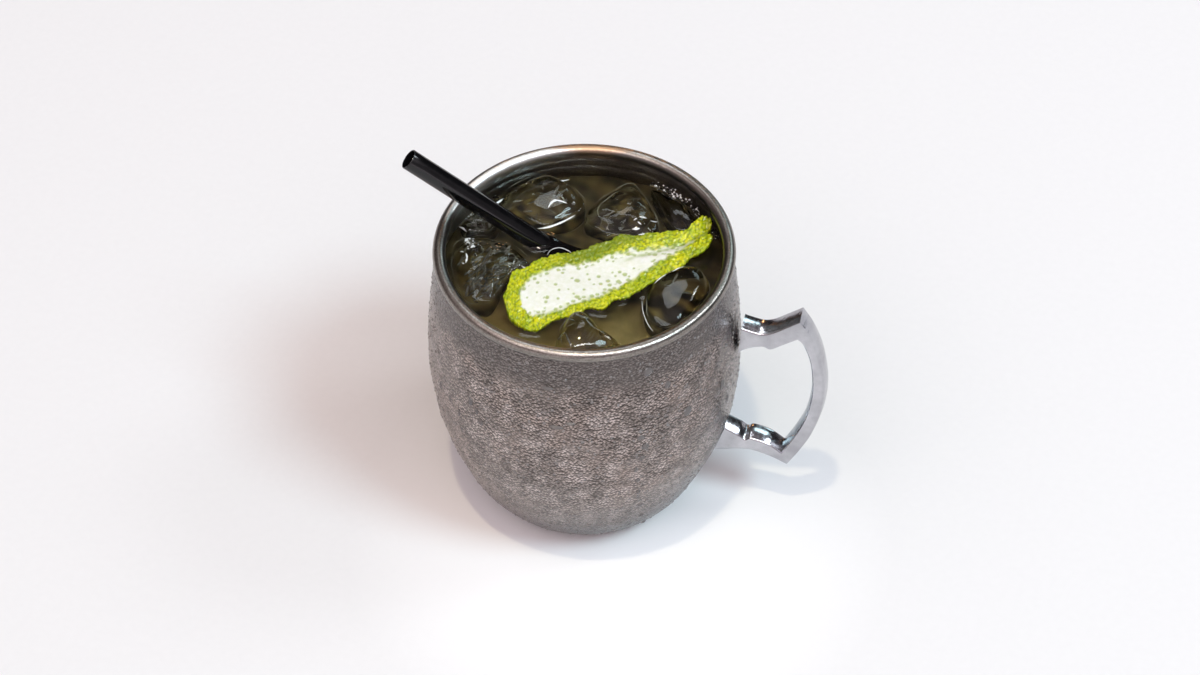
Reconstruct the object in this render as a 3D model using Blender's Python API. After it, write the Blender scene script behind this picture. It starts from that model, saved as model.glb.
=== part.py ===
# Moscow mule: an iced drink in a hammered steel mug, with a straw and a strip of lime peel.
# The mug's axis is Z, its foot stands on z = 0 and its handle points along +X.
# Lengths here are in millimetres. The helpers that make meshes turn them into metres.

import math

import bmesh
import bpy
import numpy as np
from mathutils import Vector

MM = 0.001
GAP = 0.3                # free space kept between two neighbouring pieces
TURN_STEPS = 56          # flats round a turned piece

# Mug body: a single steel wall, seen from the outside as (height, radius)
WALL = 1.0
FLOOR = 1.2
FOOT_RADIUS = 25.0
FOOT_EDGE = (26.9, 0.45)         # radius and height of the corner between foot and body
INSIDE_LOWEST = 3.7              # height where the inner wall turns into the floor
INSIDE_CORNER = ((27.6, 2.2), (24.5, FLOOR))  # that turn, as (radius, height)
BODY = ((1.5, 28.6), (6.0, 32.9), (13.7, 37.5), (24.5, 41.6), (37.2, 45.1), (51.0, 46.5),
        (64.7, 46.6), (78.4, 45.3), (88.2, 44.2), (94.6, 43.3))
BODY_RINGS = 14

# Rolled bead round the lip. Its arc runs from below its outside over the top, in degrees
RIM_HEIGHT = 98.0
BEAD_RADIUS = 1.9
BEAD_CENTRE_RADIUS = 42.1
BEAD_ARC = (-45.0, 215.0)
BEAD_SIDES = 9

# Drink and its level
LEVEL = 88.3
DRINK_RINGS = 9
DRINK_FOOT = 2.6         # height of the slope round its foot
DRINK_FOOT_INSET = 0.9   # how far that foot draws in

# Handle: a cast strap. Its outline lies in the XZ plane, as (distance from the axis, height)
HANDLE_WIDTH = 6.7
HANDLE_EDGE = 0.8
ARM_TOP = ((48.6, 76.1), (51.0, 75.6), (53.6, 75.4), (56.6, 76.6), (60.4, 79.6), (64.5, 83.0))
OUTER_SIDE = ((64.5, 83.0), (68.0, 77.2), (71.2, 68.6), (73.2, 58.0), (73.0, 47.4), (70.6, 35.6),
              (67.2, 26.6), (63.7, 19.5))
ARM_UNDERSIDE = ((63.7, 19.5), (58.6, 22.0), (53.4, 23.4), (48.4, 23.1), (44.0, 21.8))
FOOT_TOP = ((46.0, 30.8), (48.3, 29.6), (50.3, 28.1))
NECK_TOP = ((50.3, 28.1), (52.2, 29.0), (57.6, 27.6), (61.7, 24.6))
INNER_SIDE = ((61.7, 24.6), (65.2, 32.8), (68.1, 41.8), (69.5, 53.0), (68.6, 64.4), (66.2, 72.4),
              (64.2, 75.1))
GRIP_TOP = ((64.2, 75.1), (60.0, 71.8), (56.4, 69.1))
ARM_BELOW = ((56.4, 69.1), (54.2, 69.8), (51.0, 68.8), (48.2, 67.0))
HANDLE_TOP_ROOT = 76.4
HANDLE_GRIP_ROOT = 65.4
HANDLE_FOOT_ROOT = 31.8
HANDLE_LOW_ROOT = 21.0

# Straw: an open tube that leans across the mug and stands on its far wall
STRAW_RADIUS = 3.1
STRAW_BORE = 2.75
STRAW_LENGTH = 121.0
STRAW_SIDES = 28
STRAW_ROOM_END = 2.0                 # free length below the straw's lower end
STRAW_TIP = (-52.25, 3.0, 119.0)
STRAW_LEAN = math.radians(40.0)      # above the level
STRAW_HEADING = math.radians(188.0)  # from +X, the way the tip points

# Lime peel: a strip cut off the fruit, pith side up. It floats, and its far tip rises
PEEL_START = (-15.5, -20.0)
PEEL_HEADING = math.radians(38.9)
PEEL_CENTRE = ((-3.8, -3.0), (4.0, 0.3), (14.0, 1.7), (26.0, 0.7), (38.0, 1.0), (47.0, -0.3),
               (54.0, -1.6), (60.0, -0.6), (65.0, 0.4))
PEEL_HALF_WIDTH = ((-3.8, 4.2), (-1.5, 7.6), (2.0, 10.2), (9.0, 11.6), (17.0, 12.4), (26.0, 11.6),
                   (38.0, 10.4), (47.0, 8.2), (54.0, 5.8), (60.0, 5.2), (65.0, 5.4))
PEEL_TIP = ((-1.0, 59.6), (-0.6, 62.0), (-0.15, 61.4), (0.4, 65.0), (1.0, 63.4))  # side, reach
PEEL_TOP = ((-3.8, 89.9), (10.0, 89.7), (34.0, 89.9), (48.0, 90.9), (58.0, 92.4), (65.0, 93.3))
PEEL_START_BOW = 1.6      # how much further its middle starts than its edges
PEEL_EDGE = 0.9           # thickness at its edges
PEEL_MIDDLE = 2.4         # and along its middle
PEEL_GROOVE = 1.1         # depth of the fold towards its tip
PEEL_GROOVE_RUN = (34.0, 50.0)
PEEL_GROOVE_SIDE = 0.2
PEEL_GROOVE_WIDTH = 0.33
PEEL_WAVE = 0.25
PEEL_WAVE_LENGTH = 6.0
PEEL_SCALLOP = 0.4
PEEL_SCALLOP_PITCH = 2.7
PEEL_SCALLOP_SHAKE = 1.3  # how uneven the scallops are
PEEL_STEPS = 56
PEEL_STRIPS = 6

# Ice that breaks the surface. Each piece has the corners of its outline at the level, the height
# of its crown, how far that slopes along X and Y, its depth and how square its shoulders are
ICE = (
    (((-30.0, 21.5), (-27.6, 30.2), (-19.6, 36.0), (-9.4, 31.8), (-5.2, 24.8), (-10.9, 17.0),
      (-17.6, 13.6)), 91.0, (0.03, 0.05), 21.0, 3.6),
    (((-4.2, 19.8), (-1.6, 29.0), (5.4, 37.2), (9.4, 35.2), (13.4, 30.2), (18.0, 21.4),
      (15.6, 15.4), (7.6, 14.0)), 90.9, (-0.02, 0.06), 20.0, 4.4),
    (((12.2, 38.0), (17.4, 36.0), (24.4, 31.4), (29.6, 25.6), (30.4, 21.2), (25.4, 19.8),
      (20.8, 23.6), (16.2, 31.2)), 90.2, (0.0, 0.05), 15.0, 3.6),
    (((19.4, -10.0), (19.8, -3.4), (23.2, 2.4), (29.6, 6.2), (34.0, 5.8), (37.2, 0.4),
      (36.0, -8.0), (31.8, -16.4), (27.0, -20.2), (22.2, -17.2)), 91.2, (0.05, 0.04), 22.0, 3.8),
    (((-1.0, -33.0), (-1.6, -26.0), (0.0, -20.6), (3.2, -19.2), (6.8, -21.4), (11.8, -25.0),
      (17.0, -28.0), (15.8, -31.6), (10.0, -35.4), (3.0, -36.8)), 93.6, (-0.08, 0.16), 19.0, 2.7),
    (((-39.4, 1.0), (-34.0, 6.2), (-26.0, 6.2), (-19.6, 3.0), (-16.4, -0.6), (-19.0, -5.0),
      (-21.4, -9.6), (-22.2, -14.4), (-24.6, -20.2), (-30.2, -19.6), (-36.4, -11.0)),
     90.4, (-0.03, 0.02), 20.0, 4.4),
    (((-39.4, 8.6), (-38.2, 13.0), (-34.6, 16.4), (-29.2, 14.4), (-30.6, 9.8), (-34.6, 8.4)),
     90.2, (0.0, 0.06), 11.0, 3.4),
)
ICE_SIDES = 20
ICE_RINGS = 7
ICE_TAPER = 0.14
ICE_ROOM = 0.45          # how far the hollow round each piece of ice stands off


def smooth(stations, count, closed=False):
    """Return count points of a Catmull-Rom curve through the stations."""
    points = [Vector(station) for station in stations]
    if closed:
        points = points[-1:] + points + points[:2]
    else:
        points = [2 * points[0] - points[1]] + points + [2 * points[-1] - points[-2]]
    last = len(points) - 3
    result = []
    for step in range(count):
        place = step * last / (count if closed else count - 1)
        span = min(int(place), last - 1)
        t = place - span
        p0, p1, p2, p3 = points[span:span + 4]
        cubic = (2 * p1 + (p2 - p0) * t + (2 * p0 - 5 * p1 + 4 * p2 - p3) * t ** 2
                 + (3 * p1 - p0 - 3 * p2 + p3) * t ** 3)
        result.append((cubic[0] / 2, cubic[1] / 2))
    return result


def reader(stations, fine=80):
    """Return a function that reads the smooth curve through the stations at any first value."""
    keys, values = zip(*smooth(stations, fine))
    return lambda key: np.interp(key, keys, values)


bodyRadius = reader(BODY)


def material(name, colour, roughness, metallic=0.0, transmission=0.0):
    """Make a plain Principled material."""
    made = bpy.data.materials.new(name)
    made.use_nodes = True
    made.diffuse_color = (*colour, 1.0)
    shader = made.node_tree.nodes["Principled BSDF"]
    shader.inputs["Base Color"].default_value = (*colour, 1.0)
    shader.inputs["Roughness"].default_value = roughness
    shader.inputs["Metallic"].default_value = metallic
    shader.inputs["Transmission Weight"].default_value = transmission
    return made


def place(name, bm, finish, sharp=40.0):
    """Turn a bmesh in millimetres into an object in metres, with its faces pointing out."""
    bmesh.ops.scale(bm, vec=(MM, MM, MM), verts=bm.verts)
    bmesh.ops.recalc_face_normals(bm, faces=bm.faces)
    mesh = bpy.data.meshes.new(name)
    bm.to_mesh(mesh)
    bm.free()
    mesh.shade_smooth()
    mesh.set_sharp_from_angle(angle=math.radians(sharp))
    piece = bpy.data.objects.new(name, mesh)
    bpy.context.scene.collection.objects.link(piece)
    if finish:
        mesh.materials.append(finish)
    return piece


def turned(name, profile, finish):
    """Turn a profile of (radius, height) points, from the axis round to the axis, about Z."""
    bm = bmesh.new()
    points = [bm.verts.new((radius, 0.0, height)) for radius, height in profile]
    edges = [bm.edges.new(pair) for pair in zip(points, points[1:])]
    bmesh.ops.spin(bm, geom=points + edges, axis=(0, 0, 1), cent=(0, 0, 0),
                   angle=2 * math.pi, steps=TURN_STEPS, use_merge=True)
    bmesh.ops.remove_doubles(bm, verts=bm.verts, dist=0.001)
    return place(name, bm, finish)


def innerRadius(height):
    """The mug's inner wall lies one wall thickness inside its outer one."""
    return bodyRadius(height) - WALL


def makeCup(steel):
    """Single-walled body with a flat foot and a rolled bead round the lip."""
    profile = [(0.0, 0.0), (FOOT_RADIUS, 0.0), FOOT_EDGE]
    heights = [height for height, _ in smooth(BODY, BODY_RINGS)]
    profile += [(float(bodyRadius(height)), height) for height in heights]
    beadHeight = RIM_HEIGHT - BEAD_RADIUS
    for angle in np.radians(np.linspace(*BEAD_ARC, BEAD_SIDES + 1)):
        profile.append((float(BEAD_CENTRE_RADIUS + BEAD_RADIUS * np.cos(angle)),
                        float(beadHeight + BEAD_RADIUS * np.sin(angle))))
    inner = [height for height in reversed(heights[:-1]) if height > INSIDE_LOWEST]
    profile += [(float(innerRadius(height)), height) for height in inner]
    profile += [*INSIDE_CORNER, (0.0, FLOOR)]
    return turned("cup", profile, steel)


def makeHandle(chrome):
    """Cast strap with two arms, extruded from its outline and rounded along its edges."""
    def root(height):
        return (float(bodyRadius(height)) + GAP, height)

    outline = [root(HANDLE_TOP_ROOT)] + list(ARM_TOP[:-1])
    outline += smooth(OUTER_SIDE, 15)[:-1]
    outline += smooth(ARM_UNDERSIDE, 7) + [root(HANDLE_LOW_ROOT)]
    outline += [root((HANDLE_LOW_ROOT + HANDLE_FOOT_ROOT) / 2), root(HANDLE_FOOT_ROOT)]
    outline += list(FOOT_TOP[:-1]) + smooth(NECK_TOP, 6)[:-1]
    outline += smooth(INNER_SIDE, 15)[:-1] + list(GRIP_TOP[:-1]) + smooth(ARM_BELOW, 5)
    outline += [root(HANDLE_GRIP_ROOT), root((HANDLE_GRIP_ROOT + HANDLE_TOP_ROOT) / 2)]

    bm = bmesh.new()
    near = bm.faces.new([bm.verts.new((x, -HANDLE_WIDTH / 2, z)) for x, z in outline])
    far = bmesh.ops.extrude_face_region(bm, geom=[near])["geom"]
    moved = [part for part in far if isinstance(part, bmesh.types.BMVert)]
    bmesh.ops.translate(bm, vec=(0.0, HANDLE_WIDTH, 0.0), verts=moved)
    rims = [edge for edge in bm.edges
            if abs(edge.verts[0].co.y - edge.verts[1].co.y) < HANDLE_WIDTH / 2]
    bmesh.ops.bevel(bm, geom=rims, offset=HANDLE_EDGE, segments=2, profile=0.5, affect="EDGES")
    return place("handle", bm, chrome)


def strawAxis():
    """Unit vector up the straw, towards its tip."""
    flat = math.cos(STRAW_LEAN)
    return Vector((flat * math.cos(STRAW_HEADING), flat * math.sin(STRAW_HEADING),
                   math.sin(STRAW_LEAN)))


def makeStraw(name, finish, radius, bore, extra=0.0):
    """Tube, or a solid rod where bore is 0, that runs down from the tip."""
    profile = [(bore, 0.0), (radius, 0.0), (radius, STRAW_LENGTH + extra)]
    profile += [(bore, STRAW_LENGTH + extra)]
    bm = bmesh.new()
    points = [bm.verts.new((across, 0.0, -down)) for across, down in profile]
    pairs = list(zip(points, points[1:]))
    if bore:
        pairs.append((points[-1], points[0]))
    edges = [bm.edges.new(pair) for pair in pairs]
    bmesh.ops.spin(bm, geom=points + edges, axis=(0, 0, 1), cent=(0, 0, 0),
                   angle=2 * math.pi, steps=STRAW_SIDES, use_merge=True)
    bmesh.ops.remove_doubles(bm, verts=bm.verts, dist=0.001)
    turn = strawAxis().to_track_quat("Z", "Y").to_matrix()
    bmesh.ops.rotate(bm, verts=bm.verts, cent=(0, 0, 0), matrix=turn)
    bmesh.ops.translate(bm, verts=bm.verts, vec=STRAW_TIP)
    return place(name, bm, finish)


def makePeel(name, finish, grow=0.0):
    """Strip with a flat cut face on top and the curved skin below, thinner towards its edges."""
    centre, halfWidth = reader(PEEL_CENTRE), reader(PEEL_HALF_WIDTH)
    topHeight, tipReach = reader(PEEL_TOP), reader(PEEL_TIP)
    start = PEEL_CENTRE[0][0] - grow
    side = np.linspace(-1.0, 1.0, PEEL_STRIPS + 1)[:, None]
    along = np.linspace(0.0, 1.0, PEEL_STEPS + 1)[None, :]
    end = tipReach(side) + grow
    bow = PEEL_START_BOW * side ** 2
    reach = start + bow + along * (end - start - bow)
    shaken = reach + PEEL_SCALLOP_SHAKE * np.sin(reach)
    scallop = PEEL_SCALLOP * np.abs(np.sin(np.pi * shaken / PEEL_SCALLOP_PITCH))
    across = side * (halfWidth(reach) + grow + scallop * (np.abs(side) == 1.0))
    offset = centre(reach) + across
    x = PEEL_START[0] + reach * math.cos(PEEL_HEADING) - offset * math.sin(PEEL_HEADING)
    y = PEEL_START[1] + reach * math.sin(PEEL_HEADING) + offset * math.cos(PEEL_HEADING)
    fold = PEEL_GROOVE * np.interp(reach, PEEL_GROOVE_RUN, (0.0, 1.0))
    fold = fold * np.exp(-((side - PEEL_GROOVE_SIDE) / PEEL_GROOVE_WIDTH) ** 2)
    wave = PEEL_WAVE * np.sin(reach / PEEL_WAVE_LENGTH + 2.0 * side)
    top = topHeight(reach) + wave - fold
    bottom = top - PEEL_EDGE - (PEEL_MIDDLE - PEEL_EDGE) * (1.0 - side ** 2)

    bm = bmesh.new()
    sheets = []
    for height in (top + grow, bottom - grow):
        rows = np.stack([x, y, height], axis=-1)
        sheets.append([[bm.verts.new(point) for point in row] for row in rows.tolist()])
    upper, lower = sheets
    for row in range(PEEL_STRIPS):
        for step in range(PEEL_STEPS):
            corners = ((row, step), (row, step + 1), (row + 1, step + 1), (row + 1, step))
            bm.faces.new([upper[r][s] for r, s in corners])
            bm.faces.new([lower[r][s] for r, s in reversed(corners)])
    border = [(0, s) for s in range(PEEL_STEPS)] + [(r, PEEL_STEPS) for r in range(PEEL_STRIPS)]
    border += [(PEEL_STRIPS, s) for s in range(PEEL_STEPS, 0, -1)]
    border += [(r, 0) for r in range(PEEL_STRIPS, 0, -1)]
    for (r0, s0), (r1, s1) in zip(border, border[1:] + border[:1]):
        bm.faces.new((upper[r1][s1], upper[r0][s0], lower[r0][s0], lower[r1][s1]))
    return place(name, bm, finish, sharp=60.0)


def makeIce(name, finish, piece, grow=0.0):
    """Melted cube: rings of its outline drawn in and lowered from a flat crown to a flat foot."""
    corners, crown, slope, depth, squareness = piece
    outline = [Vector(point) for point in smooth(corners, ICE_SIDES, closed=True)]
    middle = sum(outline, Vector((0.0, 0.0))) / ICE_SIDES
    bm = bmesh.new()
    rings = []
    for ring in range(ICE_RINGS + 1):
        angle = math.pi * ring / ICE_RINGS
        reach = math.sin(angle) ** (2.0 / squareness) if 0 < ring < ICE_RINGS else 0.0
        rise = math.copysign(abs(math.cos(angle)) ** (2.0 / squareness), math.cos(angle))
        reach *= 1.0 - ICE_TAPER * max(-rise, 0.0)
        points = []
        for corner in outline if reach else [middle]:
            away = (corner - middle) * reach
            if reach:
                away += away.normalized() * grow
            tilt = (away.x * slope[0] + away.y * slope[1]) * max(rise, 0.0)
            height = crown + (rise - 1.0) * depth / 2 + tilt + grow * rise
            points.append(bm.verts.new((middle.x + away.x, middle.y + away.y, height)))
        rings.append(points)
    for upper, lower in zip(rings, rings[1:]):
        for side in range(ICE_SIDES):
            after = (side + 1) % ICE_SIDES
            if len(upper) == 1:
                bm.faces.new((upper[0], lower[side], lower[after]))
            elif len(lower) == 1:
                bm.faces.new((upper[after], upper[side], lower[0]))
            else:
                bm.faces.new((upper[after], upper[side], lower[side], lower[after]))
    return place(name, bm, finish)


def cut(piece, cutters):
    """Take the cutters' collection away from a piece."""
    boolean = piece.modifiers.new("clearance", "BOOLEAN")
    boolean.operation = "DIFFERENCE"
    boolean.operand_type = "COLLECTION"
    boolean.collection = cutters
    boolean.solver = "EXACT"


def cutterGroup(name, cutters):
    """Gather cutters in a collection that is neither rendered nor part of the object."""
    group = bpy.data.collections.new(name)
    bpy.context.scene.collection.children.link(group)
    for cutter in cutters:
        bpy.context.scene.collection.objects.unlink(cutter)
        group.objects.link(cutter)
        cutter.hide_render = True
        cutter.display_type = "WIRE"
    return group


def makeDrink(ginger, cutters):
    """Fill the mug up to the level, cut round the ice, the straw and the peel."""
    low = FLOOR + GAP
    footRadius = FOOT_RADIUS - DRINK_FOOT_INSET
    profile = [(0.0, low), (footRadius, low)]
    for height in np.linspace(low + DRINK_FOOT, LEVEL, DRINK_RINGS + 1).tolist():
        inset = DRINK_FOOT_INSET if height == low + DRINK_FOOT else 0.0
        profile.append((float(innerRadius(height)) - GAP - inset, height))
    profile.append((0.0, LEVEL))
    drink = turned("drink", profile, ginger)
    cut(drink, cutters)
    return drink


def main():
    for old in list(bpy.data.objects):
        bpy.data.objects.remove(old, do_unlink=True)

    steel = material("hammered_steel", (0.42, 0.39, 0.38), 0.34, metallic=1.0)
    chrome = material("polished_steel", (0.72, 0.72, 0.74), 0.12, metallic=1.0)
    ginger = material("drink", (0.13, 0.11, 0.06), 0.08)
    black = material("black_plastic", (0.012, 0.011, 0.012), 0.22)
    lime = material("lime_peel", (0.62, 0.72, 0.12), 0.45)
    ice = material("ice", (0.62, 0.64, 0.60), 0.06, transmission=0.9)

    makeCup(steel)
    makeHandle(chrome)
    makeStraw("straw", black, STRAW_RADIUS, STRAW_BORE)
    makePeel("lime_peel", lime)

    strawRoom = makeStraw("straw_room", None, STRAW_RADIUS + GAP, 0.0, extra=STRAW_ROOM_END)
    peelRoom = makePeel("peel_room", None, grow=GAP)
    toppings = cutterGroup("topping_rooms", [strawRoom, peelRoom])
    iceRooms = []
    for number, piece in enumerate(ICE, start=1):
        cube = makeIce(f"ice_{number}", ice, piece)
        cut(cube, toppings)
        iceRooms.append(makeIce(f"ice_room_{number}", None, piece, grow=ICE_ROOM))
    rooms = cutterGroup("ice_rooms", iceRooms)
    drink = makeDrink(ginger, rooms)
    cut(drink, toppings)


main()
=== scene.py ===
import math

import bmesh
import bpy
import numpy as np
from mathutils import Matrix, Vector


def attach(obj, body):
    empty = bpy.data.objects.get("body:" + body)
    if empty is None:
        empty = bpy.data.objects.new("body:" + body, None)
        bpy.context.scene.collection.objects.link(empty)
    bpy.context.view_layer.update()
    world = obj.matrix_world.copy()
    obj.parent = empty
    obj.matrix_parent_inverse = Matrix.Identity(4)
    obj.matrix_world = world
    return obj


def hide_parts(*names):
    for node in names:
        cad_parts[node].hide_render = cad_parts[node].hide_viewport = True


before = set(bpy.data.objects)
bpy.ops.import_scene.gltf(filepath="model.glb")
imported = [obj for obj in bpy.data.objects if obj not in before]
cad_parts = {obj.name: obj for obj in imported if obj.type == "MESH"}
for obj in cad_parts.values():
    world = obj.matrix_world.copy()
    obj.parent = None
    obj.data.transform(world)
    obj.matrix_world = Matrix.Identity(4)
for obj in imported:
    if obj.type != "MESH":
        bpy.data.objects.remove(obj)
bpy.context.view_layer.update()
mm = 0.001
level = 88.3      # height of the drink's surface
wall = 1.0        # thickness of the steel


# Shapes worked out as whole arrays

def smoothCurve(stations, count, closed=False):
    # Catmull-Rom: a cubic through every station, whose slope there is half the step between its neighbours
    points = np.asarray(stations, float)
    if closed:
        points = np.vstack([points[-1:], points, points[:2]])
    else:
        points = np.vstack([2 * points[0] - points[1], points, 2 * points[-1] - points[-2]])
    last = len(points) - 3
    place = np.linspace(0.0, last, count, endpoint=not closed)
    span = np.minimum(place.astype(int), last - 1)
    t = (place - span)[:, None]
    p0, p1, p2, p3 = (points[span + k] for k in range(4))
    return (2 * p1 + (p2 - p0) * t + (2 * p0 - 5 * p1 + 4 * p2 - p3) * t ** 2
            + (3 * p1 - p0 - 3 * p2 + p3) * t ** 3) / 2


def stacked(*parts):
    # values side by side along a new last axis, each first stretched to the shape that all of them share
    return np.stack(np.broadcast_arrays(*parts), axis=-1)


def turned(radius, angle, height):
    # points at a radius and an angle round Z
    return stacked(radius * np.cos(angle), radius * np.sin(angle), height)


def unit(vectors):
    return vectors / np.linalg.norm(vectors, axis=-1, keepdims=True)


def planDirection(degrees):
    # seen from above and counted from +X
    return np.array([math.cos(math.radians(degrees)), math.sin(math.radians(degrees))])


def reader(stations):
    # reads the smooth curve through the stations at any first value
    keys, values = smoothCurve(stations, 200).T
    return lambda key: np.interp(key, keys, values)


def ease(value, low, high):
    # smooth step: 0 below low, 1 above high
    t = np.clip((value - low) / (high - low), 0.0, 1.0)
    return t * t * (3.0 - 2.0 * t)


def ripple(points, size, seed, waves=9):
    # sum of sine waves about size long that run in seeded directions, from about -1 to 1
    draw = np.random.default_rng(seed)
    points = np.asarray(points, float)
    total = np.zeros(points.shape[:-1])
    for _ in range(waves):
        heading = draw.normal(size=points.shape[-1])
        heading *= 2 * math.pi / (size * draw.uniform(0.6, 1.7) * np.linalg.norm(heading))
        total += np.sin(points @ heading + draw.uniform(0.0, 2 * math.pi))
    return total / math.sqrt(waves)


def gridFaces(rows, columns, wrap=False, loop=False):
    # quads of a grid whose points are numbered row by row. wrap joins the last column to the first one, and
    # loop joins the last row to the first
    here = np.arange(rows * columns).reshape(rows, columns)
    after = np.roll(here, -1, axis=1)
    quads = stacked(here, after, np.roll(after, -1, axis=0), np.roll(here, -1, axis=0))
    return quads[:rows if loop else -1, :columns if wrap else -1].reshape(-1, 4)


def ringFaces(rows, columns):
    # quads of rings one after another, and the two faces that fill the first and the last ring
    ring = np.arange(columns)
    return [gridFaces(rows, columns, wrap=True), np.stack([ring, ring + (rows - 1) * columns])]


def outlineDistance(x, y, outline):
    # distance of each point to a closed outline, negative inside it
    nearest = np.full(x.shape, np.inf)
    inside = np.zeros(x.shape, bool)
    for (x0, y0), (x1, y1) in zip(outline, np.roll(outline, -1, axis=0)):
        along = ((x - x0) * (x1 - x0) + (y - y0) * (y1 - y0)) / ((x1 - x0) ** 2 + (y1 - y0) ** 2)
        along = np.clip(along, 0.0, 1.0)
        gap = np.hypot(x - x0 - along * (x1 - x0), y - y0 - along * (y1 - y0))
        nearest = np.minimum(nearest, gap)
        if y0 != y1:
            crossing = ((y0 > y) != (y1 > y)) & (x < (x1 - x0) * (y - y0) / (y1 - y0) + x0)
            inside ^= crossing
    return np.where(inside, -nearest, nearest)


def addPiece(name, points, faces, finishes, replaces=(), slot=None, sharp=None, finishOf=None, values=None):
    # points in millimetres, faces as arrays of equal corner counts, finishOf one finish number a face
    mesh = bpy.data.meshes.new(name)
    corners = np.concatenate([block.ravel() for block in faces]).astype(np.int32)
    sizes = np.concatenate([np.full(len(block), block.shape[1]) for block in faces])
    starts = np.concatenate([[0], np.cumsum(sizes)[:-1]]).astype(np.int32)
    mesh.vertices.add(len(points))
    mesh.vertices.foreach_set("co", (points * mm).astype(np.float32).ravel())
    mesh.loops.add(len(corners))
    mesh.loops.foreach_set("vertex_index", corners)
    mesh.polygons.add(len(starts))
    mesh.polygons.foreach_set("loop_start", starts)
    for finish in finishes:
        mesh.materials.append(finish)
    if finishOf is not None:
        mesh.polygons.foreach_set("material_index", finishOf.astype(np.int32))
    for valueName, numbers in (values or {}).items():
        mesh.attributes.new(valueName, "FLOAT", "POINT").data.foreach_set("value", numbers.astype(np.float32))
    mesh.update(calc_edges=True)
    mesh.validate()
    bm = bmesh.new()
    bm.from_mesh(mesh)
    bmesh.ops.recalc_face_normals(bm, faces=bm.faces)
    bm.to_mesh(mesh)
    bm.free()
    mesh.shade_smooth()
    if sharp:
        mesh.set_sharp_from_angle(angle=math.radians(sharp))
    piece = bpy.data.objects.new(name, mesh)
    bpy.context.scene.collection.objects.link(piece)
    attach(piece, "root")
    if replaces:
        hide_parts(*replaces)
    print(f"{name}: {len(mesh.vertices)} points, {len(mesh.polygons)} faces")


def addSheet(name, upper, lower, finish, **settings):
    # two grids of points, one over the other, joined by a wall along their edge
    rows, columns = upper.shape[:2]
    total = rows * columns
    index = np.arange(total).reshape(rows, columns)
    edge = np.concatenate([index[0, :-1], index[:-1, -1], index[-1, :0:-1], index[:0:-1, 0]])
    after = np.roll(edge, -1)
    quads = gridFaces(rows, columns)
    faces = [quads, quads[:, ::-1] + total, stacked(edge, after, after + total, edge + total)]
    addPiece(name, np.concatenate([upper, lower]).reshape(-1, 3), faces, [finish], **settings)


# Nodes for the finishes

def newFinish(name):
    made = bpy.data.materials.new(name)
    made.use_nodes = True
    return made, made.node_tree, made.node_tree.nodes["Principled BSDF"]


def feed(node, socket, value):
    # value is a number, a colour or the output of another node
    if isinstance(value, bpy.types.NodeSocket):
        node.id_data.links.new(value, node.inputs[socket])
    else:
        node.inputs[socket].default_value = value


def addNode(tree, kind, inputs=(), **settings):
    made = tree.nodes.new("ShaderNode" + kind)
    for setting, value in settings.items():
        setattr(made, setting, value)
    for socket, value in dict(inputs).items():
        feed(made, socket, value)
    return made


def setShader(shader, **values):
    names = {"Base": "Base Color", "Ior": "IOR", "Transmission": "Transmission Weight",
             "Coat": "Coat Weight", "CoatRoughness": "Coat Roughness", "Specular": "Specular IOR Level",
             "Scatter": "Subsurface Weight", "ScatterScale": "Subsurface Scale",
             "ScatterRadius": "Subsurface Radius"}
    for socket, value in values.items():
        feed(shader, names.get(socket, socket), value)


def plainFinish(name, colour, **values):
    # one colour all over
    made, _, shader = newFinish(name)
    setShader(shader, Base=(*colour, 1.0), **values)
    return made


def painted(tree, name):
    # values that addPiece keeps on the points of a piece
    return addNode(tree, "Attribute", attribute_name=name).outputs["Fac"]


def objectPlace(tree, scale=(1.0, 1.0, 1.0)):
    place = addNode(tree, "TexCoord").outputs["Object"]
    if scale == (1.0, 1.0, 1.0):
        return place
    return addNode(tree, "Mapping", {"Vector": place, "Scale": scale}).outputs["Vector"]


def axisPlace(tree, place, axis):
    return addNode(tree, "SeparateXYZ", {0: place}).outputs[axis]


def noiseValue(tree, place, size, detail=3.0, rough=0.55, twist=0.0):
    # size is the noise's wavelength in millimetres
    return addNode(tree, "TexNoise", {"Vector": place, "Scale": 1000.0 / size, "Detail": detail,
                                      "Roughness": rough, "Distortion": twist}).outputs["Fac"]


def cellDistance(tree, place, size):
    # distance to the middle of the nearest of many cells, size millimetres apart, as a share of size
    return addNode(tree, "TexVoronoi", {"Vector": place, "Scale": 1000.0 / size}).outputs["Distance"]


def ranged(tree, value, low, high, outLow=0.0, outHigh=1.0):
    return addNode(tree, "MapRange", {"Value": value, "From Min": low, "From Max": high,
                                      "To Min": outLow, "To Max": outHigh}).outputs["Result"]


def maths(tree, operation, first, second=0.0):
    return addNode(tree, "Math", {0: first, 1: second}, operation=operation).outputs[0]


def product(tree, *values):
    total = values[0]
    for value in values[1:]:
        total = maths(tree, "MULTIPLY", total, value)
    return total


def vectorMaths(tree, operation, first, second=(0.0, 0.0, 0.0), output="Vector"):
    return addNode(tree, "VectorMath", {0: first, 1: second}, operation=operation).outputs[output]


def blendColour(tree, factor, first, second, how="MIX"):
    inputs = {0: factor, 6: first, 7: second}
    for socket in (6, 7):
        if not isinstance(inputs[socket], bpy.types.NodeSocket):
            inputs[socket] = (*inputs[socket], 1.0)
    return addNode(tree, "Mix", inputs, data_type="RGBA", blend_type=how).outputs[2]


def bump(tree, shader, height, depth, strength=1.0, under=None):
    # depth is the relief in millimetres of a height that runs from 0 to 1
    inputs = {"Height": height, "Distance": depth * mm, "Strength": strength}
    if under is not None:
        inputs["Normal"] = under
    made = addNode(tree, "Bump", inputs).outputs["Normal"]
    tree.links.new(made, shader.inputs["Normal"])
    return made


# Mug

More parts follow.
